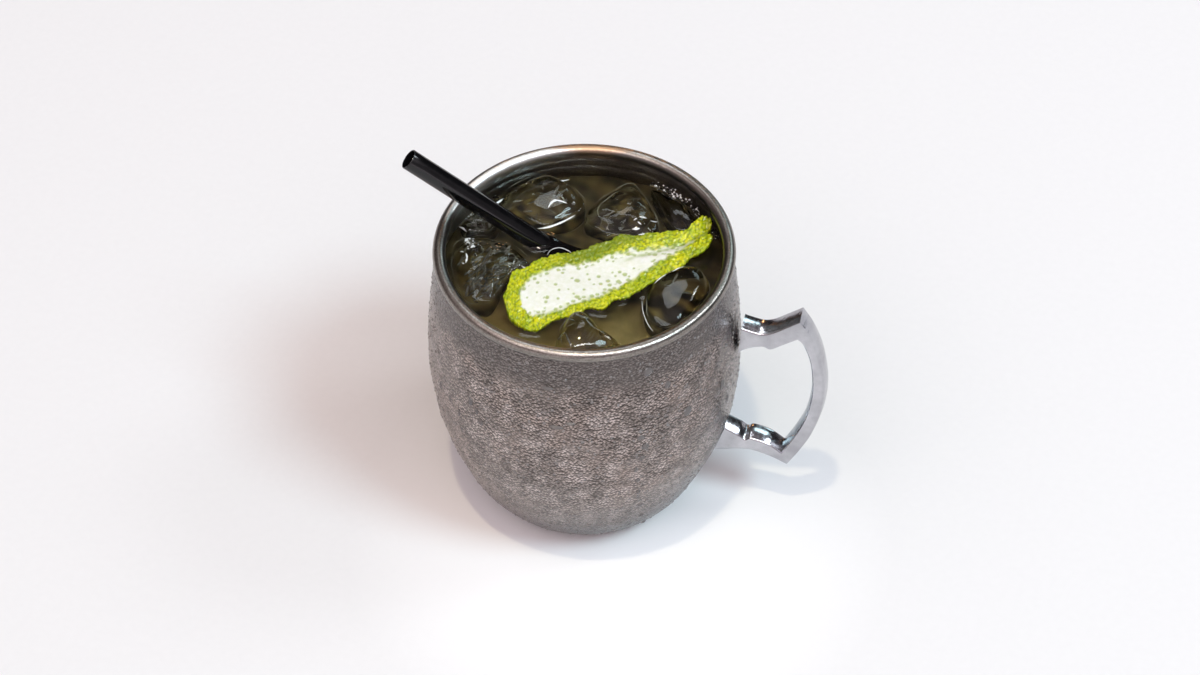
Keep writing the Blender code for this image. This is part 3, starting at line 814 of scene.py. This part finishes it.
def iceTop(name, x, y):
    # height of a piece's upper face over any point: the lowest of a few tilted planes, softened where they
    # meet, on a squared dome over its outline. Also the share of the way from its middle to its outline
    outline, middle = iceOutline(name)
    _, crown, slope, depth, squareness = iceShapes[name]
    bearing = np.arctan2(outline[:, 1] - middle[1], outline[:, 0] - middle[0])
    order = np.argsort(bearing)
    far = np.hypot(*(outline - middle).T)
    towards = np.arctan2(y - middle[1], x - middle[0])
    reach = np.interp(towards, bearing[order], far[order], period=2 * math.pi)
    share = np.hypot(x - middle[0], y - middle[1]) / reach
    rise = np.maximum(1.0 - np.minimum(share, 1.0) ** squareness, 0.0) ** (1.0 / squareness)
    tilt = (x - middle[0]) * slope[0] + (y - middle[1]) * slope[1]
    draw = np.random.default_rng(ord(name[-1]))
    headings = np.sort(draw.uniform(0.0, 2 * math.pi, ice["facets"]))
    total = np.zeros(np.shape(x))
    for heading, fall in zip(headings, draw.uniform(*ice["facetSlope"], ice["facets"])):
        out = (x - middle[0]) * math.cos(heading) + (y - middle[1]) * math.sin(heading)
        total += np.exp(fall * (out - 2.0) / 0.10)
    facets = -0.10 * np.log(1.0 + total)
    melt = ice["melt"] * ripple(stacked(x, y), 9.0, len(name) + ord(name[-1]))
    if name in ice["creases"]:
        high, heading = ice["creases"][name]
        run = planDirection(heading)
        drawnOut = stacked(0.3 * (x * run[0] + y * run[1]), y * run[0] - x * run[1])
        melt = melt + high * np.abs(ripple(drawnOut, 2.8, 60 + ord(name[-1])))
    calm = ice["calm"].get(name, 1.0)
    return crown + (rise - 1.0) * depth / 2 + (tilt + calm * (facets + melt)) * rise, share


def iceFinish(name):
    # ice under the film of drink, so its index is the one it has against that film
    made, tree, shader = newFinish(name)
    # painted shade: the flanks are coloured darker than the crown and the foot
    tone = blendColour(tree, painted(tree, "flank"), (0.92, 0.94, 0.93), (0.34, 0.36, 0.33))
    frost = noiseValue(tree, objectPlace(tree, (1.0, 1.0, 0.4)), 5.0, 4.0)
    frosted = ranged(tree, frost, 0.45, 0.75, 0.01, 0.12)
    setShader(shader, Base=tone, Roughness=frosted, Ior=1.09, Transmission=1.0)
    bump(tree, shader, noiseValue(tree, objectPlace(tree), 4.0, 3.0, 0.5, 0.5), 0.5, 0.5)
    return made


def makeIcePiece(name, finish):
    # rings from the crown to the foot: each is the outline drawn in and lowered along a squared arc
    _, middle = iceOutline(name)
    _, crown, _, depth, squareness = iceShapes[name]
    turn = np.linspace(0.02, math.pi - 0.02, ice["rings"])[:, None]
    rise = np.sign(np.cos(turn)) * np.abs(np.cos(turn)) ** (2.0 / squareness)
    reach = np.sin(turn) ** (2.0 / squareness) * (1.0 - ice["taper"] * np.maximum(-rise, 0.0))
    corners = smoothCurve(iceShapes[name][0], ice["sides"], closed=True) - middle
    x = middle[0] + corners[None, :, 0] * reach
    y = middle[1] + corners[None, :, 1] * reach
    z = np.where(rise > 0.0, iceTop(name, x, y)[0], crown + (rise - 1.0) * depth / 2)
    points = stacked(x, y, z)
    points[..., :2] *= 1.0 - 0.012 * ripple(points, 8.0, ord(name[-1]))[..., None] * (rise < 0.0)[..., None]
    # painted shade on each piece's sides, strongest halfway down
    flank = ease(np.repeat(1.0 - np.abs(rise), ice["sides"], axis=1), 0.12, 0.75) * ice["flankShade"].get(name, 1.0)
    addPiece(name.replace("ice", "ice_cube"), points.reshape(-1, 3), ringFaces(*x.shape), [finish],
             replaces=[name], slot="ice", values={"flank": flank.ravel()})


iceClear = iceFinish("ice")
for iceName in iceShapes:
    makeIcePiece(iceName, iceClear)


# Cracks in the ice: thin pale flakes under its upper face

cracks = {
    # flakes in each piece, mean heading from +X, spread of the headings
    "ice_6": (170, 62.0, 24.0),
    "ice_1": (18, 70.0, 50.0),
    "ice_7": (36, 40.0, 60.0),
    "ice_5": (10, 20.0, 60.0),
    "ice_4": (7, 100.0, 60.0),
    "ice_2": (9, 40.0, 60.0),
    "length": (0.6, 2.8),
    "width": (0.08, 0.5),
    "depth": (0.3, 3.2),      # under the upper face
    "gathered": 0.66,         # share of the flakes that lie near the lines of fracture
    "linePitch": 0.7,         # between those lines
}


def crackFinish(name):
    return plainFinish(name, (0.13, 0.13, 0.11), Roughness=0.2)


def makeCracks(name, finish):
    count, heading, spread = cracks[name]
    outline, middle = iceOutline(name)
    draw = np.random.default_rng(70 + ord(name[-1]))
    corner = outline[draw.integers(0, len(outline), count)]
    spots = middle + (corner - middle) * np.sqrt(draw.uniform(0.0, 0.72, (count, 1)))
    lines = (draw.uniform(-0.6, 0.6, (count, 1)) * 10.0).round() * cracks["linePitch"]
    aside = planDirection(heading + 90.0)
    joined = (draw.uniform(size=(count, 1)) < cracks["gathered"]) * 0.6
    spots += joined * (lines - (spots - middle) @ aside[:, None]) * aside
    top, share = iceTop(name, spots[:, 0], spots[:, 1])
    spots, top = spots[share < 0.86], top[share < 0.86]
    count = len(spots)
    points = np.column_stack([spots, top - draw.uniform(*cracks["depth"], count)])
    normals = unit(draw.normal(0.0, 0.35, (count, 3)) + (0.0, 0.0, 1.0))
    # scatterCaps lays a cap's first side across the fall line, so the turn is counted from there
    base = np.arctan2(normals[:, 0], -normals[:, 1])
    turn = np.radians(heading + draw.normal(0.0, spread, count)) - base
    length = draw.uniform(*cracks["length"], count)
    caps, faces = scatterCaps(points, normals, length, draw.uniform(*cracks["width"], count),
                              np.full(count, 0.05), turn, 8, 2)
    addPiece(name.replace("ice", "cracks"), caps, faces, [finish])


crackPale = crackFinish("cracked_ice")
for iceName in iceShapes:
    if iceName in cracks:
        makeCracks(iceName, crackPale)


# Drink: a clear, coloured upper layer with the wet surface, over a cloudy body

drink = {
    "grid": 216,
    "bodyGrid": 150,
    "depth": 17.0,            # of the clear layer
    # how high the drink climbs what it wets, and how far from it
    "wallRise": (0.9, 1.2),
    "strawRise": (0.8, 0.9),
    "peelRise": (0.7, 0.9),
    "wave": 0.07,             # of the open surface
    "skin": 0.14,             # drink over the ice
    "fillet": 0.32,
    "intoWall": 0.35,
    "cloud": 7.5,             # how far down the cloudy body starts
    # how much painted shade the cloudy body takes under each piece of ice
    "shadeUnder": {"ice_1": 0.85, "ice_2": 1.3, "ice_3": 1.3, "ice_4": 1.15, "ice_5": 0.35, "ice_6": 0.75,
                  "ice_7": 0.9},
}


def softMaximum(first, second, blend):
    # greater of two heights, with a fillet where they meet
    high = np.maximum(first, second)
    return high + blend * np.log(np.exp((first - high) / blend) + np.exp((second - high) / blend))


def climbed(gap, rise):
    # how much higher the drink stands this far from what it wets
    height, reach = rise
    return height * np.exp(-np.maximum(gap, 0.0) / reach)


def drinkTop(x, y):
    # the level, drawn up along the wall, the straw and the peel, and over every piece of ice
    height = level + climbed(innerRadius(level) - np.hypot(x, y), drink["wallRise"])
    height += drink["wave"] * ripple(stacked(x, y), 9.0, 40)
    dx, dy = x - strawAtLevel.x, y - strawAtLevel.y
    along = (dx * math.cos(strawHeading) + dy * math.sin(strawHeading)) * math.sin(strawLean)
    across = dy * math.cos(strawHeading) - dx * math.sin(strawHeading)
    height += climbed(np.hypot(along, across) - straw["radius"], drink["strawRise"])
    reach, side = peelGrid()[:2]
    ring = np.concatenate([stacked(reach[0], side[0])[::6], stacked(reach[-1], side[-1])[::-6]])
    height += climbed(outlineDistance(x, y, stacked(*peelPlace(ring[:, 0], ring[:, 1]))), drink["peelRise"])
    for name in iceShapes:
        top, share = iceTop(name, x, y)
        raised = np.where(share < 1.0, top + drink["skin"], level - 6.0)
        height = softMaximum(height, raised, drink["fillet"])
    return height


def discGrid(count, radius):
    # a square grid drawn onto a disc, so that its outer rows lie on the circle
    a, b = np.meshgrid(np.linspace(-1.0, 1.0, count), np.linspace(-1.0, 1.0, count))
    return radius * a * np.sqrt(1.0 - b ** 2 / 2), radius * b * np.sqrt(1.0 - a ** 2 / 2)


def drinkFinish(name):
    made, tree, shader = newFinish(name)
    setShader(shader, Base=(0.98, 0.97, 0.93, 1.0), Roughness=0.0, Ior=1.33, Transmission=1.0)
    bump(tree, shader, noiseValue(tree, objectPlace(tree), 6.0, 2.0), 0.12, 0.3)
    tint = addNode(tree, "VolumeAbsorption", {"Color": (0.66, 0.58, 0.34, 1.0), "Density": 70.0})
    tree.links.new(tint.outputs["Volume"], tree.nodes["Material Output"].inputs["Volume"])
    return made


def cloudFinish(name):
    made, tree, shader = newFinish(name)
    pulp = noiseValue(tree, objectPlace(tree), 9.0, 4.0, 0.6, 0.4)
    tone = blendColour(tree, ranged(tree, pulp, 0.3, 0.7), (0.235, 0.19, 0.082), (0.32, 0.26, 0.118))
    # painted shade from the shade values and painted light from the pale ones
    tone = blendColour(tree, painted(tree, "shade"), tone, (0.014, 0.0118, 0.0092))
    tone = blendColour(tree, painted(tree, "pale"), tone, (0.62, 0.60, 0.48))
    setShader(shader, Base=tone, Roughness=0.7)
    return made


def drinkRadius(height):
    return innerRadius(height) + drink["intoWall"]


def makeSurface():
    x, y = discGrid(drink["grid"], drinkRadius(level))
    low = level - drink["depth"]
    shrink = drinkRadius(low) / drinkRadius(level)
    addSheet("drink_surface", stacked(x, y, drinkTop(x, y)), stacked(x * shrink, y * shrink, low),
             drinkFinish("drink"), replaces=["drink"], slot="drink")


def makeBody():
    x, y = discGrid(drink["bodyGrid"], drinkRadius(level - drink["cloud"]))
    flat = stacked(x, y)
    top = level - drink["cloud"] + 0.6 * ripple(flat, 16.0, 44)
    # painted shade towards the far side and under the ice, and painted light: a pale line where each piece
    # ends and pale patches under it
    shade = 0.78 * ease(y, -24.0, 0.0) + 0.10 * ripple(flat, 7.0, 45)
    pale = np.zeros(x.shape)
    for name in iceShapes:
        _, share = iceTop(name, x, y)
        under = 1.0 - ease(share, 0.70, 0.95)
        top -= 3.0 * (1.0 - ease(share, 0.75, 1.05))
        patches = 0.75 + 0.35 * ripple(flat, 6.0, 46 + ord(name[-1]))
        shade += (drink["shadeUnder"][name] * patches - shade) * under
        pale += 0.30 * np.exp(-((share - 0.97) / 0.035) ** 2) * (0.5 + 0.5 * ripple(flat, 11.0, 47))
        pale += 0.14 * ease(ripple(flat, 5.0, 48 + ord(name[-1])), 0.8, 1.6) * under
    values = {"shade": np.tile(np.clip(shade, 0.0, 1.0).ravel(), 2),
              "pale": np.tile(np.clip(pale, 0.0, 1.0).ravel(), 2)}
    upper, lower = stacked(x, y, top), stacked(x * 0.6, y * 0.6, mug["floor"] + 0.2)
    addSheet("drink_body", upper, lower, cloudFinish("cloudy_drink"), slot="drink", values=values)


makeSurface()
makeBody()


# Bubbles and beads of wet that float on the drink

bubbles = {
    # each group: a line of stations, how many, how far they stray from it, radius from and to
    "far_wall": (((12.0, 39.3), (22.0, 35.0), (31.0, 27.2), (36.0, 19.5)), 64, 1.0, (0.22, 0.62)),
    "cracked_cube": (((-35.5, 4.0), (-32.5, 1.0), (-31.5, -3.0)), 34, 1.2, (0.18, 0.52)),
    "straw": (((-18.6, 0.2), (-14.5, -3.4), (-9.0, -4.4), (-5.0, -2.0)), 26, 0.8, (0.25, 0.75)),
    "large_cube": (((2.0, 15.5), (8.0, 14.6), (15.0, 16.8), (17.6, 21.0)), 40, 1.1, (0.18, 0.50)),
    "far_left": (((-36.0, 17.0), (-30.0, 25.0), (-22.0, 32.0)), 26, 1.3, (0.20, 0.55)),
    "near": (((-10.0, -33.0), (-5.0, -37.0), (4.0, -38.6)), 14, 0.9, (0.20, 0.50)),
}


def makeBeads(name, groups, finish, seed, high):
    # caps strewn along each group's line on the wet surface
    draw = np.random.default_rng(seed)
    spots, radii = [], []
    for stations, count, stray, sizes in groups.values():
        line = smoothCurve(stations, 60)
        spots.append(line[draw.integers(0, 60, count)] + draw.normal(0.0, stray / 2, (count, 2)))
        radii.append(sizes[0] + (sizes[1] - sizes[0]) * draw.uniform(size=count) ** 2)
    spots, radii = np.concatenate(spots), np.concatenate(radii)
    points = np.column_stack([spots, drinkTop(spots[:, 0], spots[:, 1]) - 0.1 * radii])
    normals = np.tile((0.0, 0.02, 1.0), (len(points), 1))
    caps, faces = scatterCaps(points, normals, radii, radii, high * radii, 0 * radii, 10, 4)
    addPiece(name, caps, faces, [finish])


makeBeads("bubbles", bubbles, waterFinish("bubble", (0.97, 0.98, 0.98), 1.0), 90, 0.8)


# Froth: white beads that gather along the wall and on cracked ice. Their white is partly froth and partly
# a painted highlight for the chains of glints there

froth = {
    "far_wall": (((13.0, 38.9), (22.0, 34.6), (30.0, 27.0)), 56, 1.3, (0.10, 0.46)),
    "cracked_cube": (((-36.4, 5.0), (-34.6, 2.6), (-34.0, 0.4)), 46, 1.3, (0.10, 0.40)),
    "large_cube": (((7.0, 15.6), (12.0, 15.2), (16.0, 17.4)), 40, 1.0, (0.08, 0.34)),
    "far_left": (((-38.6, 13.4), (-36.6, 16.8), (-33.4, 20.2)), 26, 1.1, (0.10, 0.40)),
    "peel": (((-14.0, -8.0), (-16.4, -11.4), (-17.6, -15.0)), 16, 0.6, (0.10, 0.34)),
    "near": (((8.0, -35.4), (12.0, -33.6), (15.4, -30.8)), 14, 0.7, (0.08, 0.26)),
}


def frothAndGlintFinish(name):
    # white for the froth beads and for the painted highlights of the glints
    return plainFinish(name, (0.84, 0.87, 0.88), Roughness=0.12, Coat=0.6, CoatRoughness=0.03)


makeBeads("froth", froth, frothAndGlintFinish("froth_and_glint_white"), 95, 0.9)


# Threads of light: where a piece of ice leaves the drink, its edge gathers the light in a thin line.
# Pale tubes on the wet surface are painted in as that highlight

threads = {
    # how far from the middle to the outline each thread runs, and its thickest radius
    "ice_1": ((1.01, 0.15), (0.80, 0.10)),
    "ice_2": ((1.01, 0.13), (0.72, 0.10)),
    "ice_3": ((1.01, 0.10),),
    "ice_4": ((1.02, 0.18), (0.90, 0.20)),
    "ice_5": ((1.01, 0.16), (0.82, 0.14)),
    "ice_6": ((1.01, 0.10), (0.70, 0.08)),
    "ice_7": ((1.01, 0.10),),
}


def threadFinish(name):
    return plainFinish(name, (0.17, 0.165, 0.12), Roughness=0.12)


def wetTube(path, radius, closed):
    # seven-sided tube along a path on the wet surface, its ends capped unless they meet
    sides = 7
    turn = np.arange(sides) * 2 * math.pi / sides
    ahead = np.roll(path, -1, axis=0) - np.roll(path, 1, axis=0) if closed else np.gradient(path, axis=0)
    aside = unit(stacked(-ahead[:, 1], ahead[:, 0]))
    flat = path[:, None] + aside[:, None] * (radius[:, None] * np.cos(turn))[..., None]
    high = drinkTop(path[:, 0], path[:, 1])[:, None] + 0.6 * radius[:, None] * np.sin(turn)
    faces, caps = gridFaces(len(path), sides, wrap=True, loop=closed), ringFaces(len(path), sides)[1]
    return stacked(flat[..., 0], flat[..., 1], high).reshape(-1, 3), [faces] if closed else [faces, caps]


def addTubes(name, tubes, finish):
    points, faces, total = [], [], 0
    for tubePoints, blocks in tubes:
        points.append(tubePoints)
        faces += [block + total for block in blocks]
        total += len(tubePoints)
    addPiece(name, np.concatenate(points), faces, [finish])


def makeThreads():
    # tubes that follow the outlines and thin out here and there
    tubes = []
    for number, (name, runs) in enumerate(threads.items()):
        _, middle = iceOutline(name)
        for share, thick in runs:
            path = smoothCurve(iceShapes[name][0], 260, closed=True)
            path = middle + (path - middle) * (share + 0.02 * ripple(path, 8.0, 80 + number))[:, None]
            radius = 0.015 + thick * ease(ripple(path, 12.0, 81 + number + int(10 * share)), 0.0, 1.3)
            tubes.append(wetTube(path, radius, True))
    addTubes("edge_highlight_tubes", tubes, threadFinish("painted_edge_highlight"))


makeThreads()


# Glints: painted highlights, short white swellings of the wet surface put where it catches the window

glints = {
    # stations of each, and its half width
    "ice_1_near": (((-17.0, 13.2), (-13.7, 14.7), (-10.6, 17.3), (-7.3, 21.1)), 0.52),
    "ice_1_top": (((-15.4, 20.4), (-14.8, 22.5), (-13.4, 23.6), (-10.3, 23.2)), 0.58),
    "ice_1_far": (((-17.7, 34.4), (-14.9, 34.5), (-12.4, 35.7)), 0.34),
    "far_left_1": (((-32.0, 20.8), (-30.8, 22.1), (-29.9, 23.7)), 0.38),
    "far_left_2": (((-39.9, 9.0), (-38.6, 8.6), (-37.3, 7.6)), 0.36),
    "ice_2_1": (((10.5, 20.2), (11.4, 21.2)), 0.30),
    "ice_2_2": (((11.9, 22.0), (14.0, 22.7)), 0.32),
    "ice_2_3": (((15.1, 22.5), (17.1, 23.5)), 0.26),
    "ice_2_4": (((11.8, 20.0), (13.0, 19.5)), 0.34),
    "ice_2_5": (((10.6, 17.7), (12.9, 18.3)), 0.60),
    "ice_2_6": (((12.8, 16.6), (14.7, 17.4)), 0.36),
    "peel_left": (((-18.3, -2.8), (-16.8, -3.7), (-14.0, -4.0)), 0.32),
    "peel_near_1": (((21.5, -3.3), (23.0, -1.4), (24.3, -0.3)), 0.28),
    "peel_near_2": (((25.9, 0.8), (27.4, 2.5), (29.0, 4.3)), 0.24),
    "straw_ring": (((-11.8, 2.7), (-11.1, 5.2), (-8.7, 6.7), (-5.8, 5.8), (-4.5, 4.3)), 0.15),
    "ice_6_1": (((-35.0, -2.2), (-34.3, -3.8), (-34.1, -6.1)), 0.52),
    "ice_6_2": (((-37.1, -1.1), (-35.7, -1.6)), 0.26),
    "ice_6_3": (((-35.4, -5.6), (-34.5, -6.5)), 0.24),
    "ice_4_left": (((19.0, -9.3), (20.2, -13.6), (22.3, -17.8), (24.6, -20.8)), 0.16),
}


def makeGlints():
    tubes = []
    for stations, wide in glints.values():
        path = smoothCurve(stations, 30)
        taper = np.sin(np.linspace(0.03, math.pi - 0.03, 30)) ** 0.7
        radius = wide * taper * (0.85 + 0.25 * ripple(path, 2.0, 97))
        tubes.append(wetTube(path, np.maximum(radius, 0.02), False))
    addTubes("glints", tubes, frothAndGlintFinish("white_glint"))


makeGlints()


# Floor, light and camera

studio = {
    "elevation": 46.74,
    "azimuth": 12.0,
    "distance": 850.0,
    "lens": 85.17,
    "target": (4.46, 0.95, 58.79),
    "floor": 8000.0,
    "sky": 2.74,              # radiance at its brightest
    # how bright the sky is, from level to overhead, and from behind the mug to the side named here
    "upward": ((0.0, 0.55), (0.06, 0.50), (0.14, 0.14), (0.40, 0.14), (0.66, 0.80), (1.0, 1.0)),
    "brightSide": -17.0,
    "sideward": ((0.34, 0.06), (0.92, 1.0)),
    # lights: direction from the mug as (azimuth from the camera's side towards the right, elevation),
    # distance, width and height, radiance, colour
    "lights": {
        "window": ((58.0, 53.0), 3000.0, (940.0, 940.0), 19.6, (0.66, 0.91, 0.99)),
        "right_window": ((100.0, 46.0), 3000.0, (900.0, 900.0), 6.0, (0.90, 0.96, 1.0)),
        **{f"ceiling_spot_{number}": ((azimuth, 77.0), 2400.0, (70.0, 70.0), 270.0, (1.0, 0.86, 0.58))
           for number, azimuth in enumerate((-27.0, -24.0, -21.0), 1)},
    },
    # panels that show only in what is shiny: the same numbers
    "panels": {
        "near_strip": ((6.0, 62.0), 3000.0, (1900.0, 260.0), 26.0, (0.93, 0.97, 1.0)),
        "left_strip": ((-58.0, 56.0), 3000.0, (300.0, 700.0), 12.0, (1.0, 0.95, 0.88)),
        "right_pane": ((106.0, 45.0), 3000.0, (500.0, 800.0), 16.0, (0.80, 0.93, 1.0)),
        "far_right": ((146.0, 38.0), 3000.0, (1100.0, 900.0), 4.0, (0.70, 0.95, 1.0)),
        "far_left": ((-164.0, 66.0), 3000.0, (1300.0, 900.0), 5.0, (0.92, 0.97, 1.0)),
        "warm_lamp": ((176.0, 21.0), 3000.0, (300.0, 300.0), 16.0, (1.0, 0.50, 0.20)),
    },
}


def direction(azimuth, elevation):
    a, e = math.radians(azimuth + studio["azimuth"]), math.radians(elevation)
    return Vector((math.sin(a) * math.cos(e), -math.cos(a) * math.cos(e), math.sin(e)))


def floorFinish(name):
    # paler close to the mug, where the real one throws light on it
    made, tree, shader = newFinish(name)
    place = objectPlace(tree)
    grain = noiseValue(tree, place, 2.5)
    tone = blendColour(tree, grain, (0.79, 0.79, 0.80), (0.82, 0.82, 0.83))
    apart = vectorMaths(tree, "DISTANCE", place, (0.016, -0.026, 0.0), "Value")
    tone = blendColour(tree, ranged(tree, apart, 0.084, 0.034), tone, (0.93, 0.93, 0.94))
    setShader(shader, Base=tone, Roughness=0.9, Specular=0.1)
    bump(tree, shader, grain, 0.05, 0.3)
    return made


def makeFloor():
    half = studio["floor"] / 2 * mm
    mesh = bpy.data.meshes.new("floor")
    corners = [(x * half, y * half, 0.0) for x, y in ((-1, -1), (1, -1), (1, 1), (-1, 1))]
    mesh.from_pydata(corners, [], [(0, 1, 2, 3)])
    mesh.materials.append(floorFinish("pale_floor"))
    floor = bpy.data.objects.new("floor", mesh)
    bpy.context.scene.collection.objects.link(floor)


def greyRamp(tree, value, stops):
    # grey that runs through the stops, each a value and its brightness
    made = addNode(tree, "ValToRGB", {"Fac": value})
    for number, (spot, grey) in enumerate(stops):
        stop = made.color_ramp.elements[number] if number < 2 else made.color_ramp.elements.new(spot)
        stop.position, stop.color = spot, (grey, grey, grey, 1.0)
    return made.outputs["Color"]


def makeSky():
    # white room, a little warmer on the left, darker behind the mug
    world = bpy.data.worlds.new("studio")
    bpy.context.scene.world = world
    world.use_nodes = True
    tree = world.node_tree
    place = addNode(tree, "TexCoord").outputs["Generated"]
    fromLeft = ranged(tree, axisPlace(tree, place, "X"), -0.7, 0.7)
    glow = blendColour(tree, fromLeft, (1.0, 0.84, 0.84), (1.0, 0.89, 0.96))
    near = vectorMaths(tree, "DOT_PRODUCT", place, direction(studio["brightSide"], 0.0), "Value")
    for value, stops in ((axisPlace(tree, place, "Z"), studio["upward"]),
                         (ranged(tree, near, -1.0, 1.0), studio["sideward"])):
        glow = blendColour(tree, 1.0, glow, greyRamp(tree, value, stops), "MULTIPLY")
    feed(tree.nodes["Background"], "Color", glow)
    feed(tree.nodes["Background"], "Strength", studio["sky"])


def makeLights():
    for name, (aim, distance, size, radiance, colour) in {**studio["lights"], **studio["panels"]}.items():
        lamp = bpy.data.lights.new(name, "AREA")
        lamp.shape = "ELLIPSE"
        lamp.size, lamp.size_y = size[0] * mm, size[1] * mm
        lamp.energy = radiance * math.pi * math.pi * lamp.size * lamp.size_y / 4
        lamp.color = colour
        light = bpy.data.objects.new(name, lamp)
        away = direction(*aim)
        light.location = away * distance * mm + Vector((0.0, 0.0, 0.05))
        light.rotation_euler = away.to_track_quat("Z", "Y").to_euler()
        light.visible_diffuse = name in studio["lights"]
        bpy.context.scene.collection.objects.link(light)


def makeCamera():
    lens = bpy.data.cameras.new("camera")
    lens.lens = studio["lens"]
    lens.sensor_width = 36.0
    lens.clip_end = 20.0
    camera = bpy.data.objects.new("camera", lens)
    back = direction(0.0, studio["elevation"])
    camera.location = (Vector(studio["target"]) + back * studio["distance"]) * mm
    camera.rotation_euler = back.to_track_quat("Z", "Y").to_euler()
    bpy.context.scene.collection.objects.link(camera)
    bpy.context.scene.camera = camera


makeFloor()
makeSky()
makeLights()
makeCamera()
bpy.context.scene.view_settings.view_transform = "Standard"
print("studio: floor, sky, lights and camera")
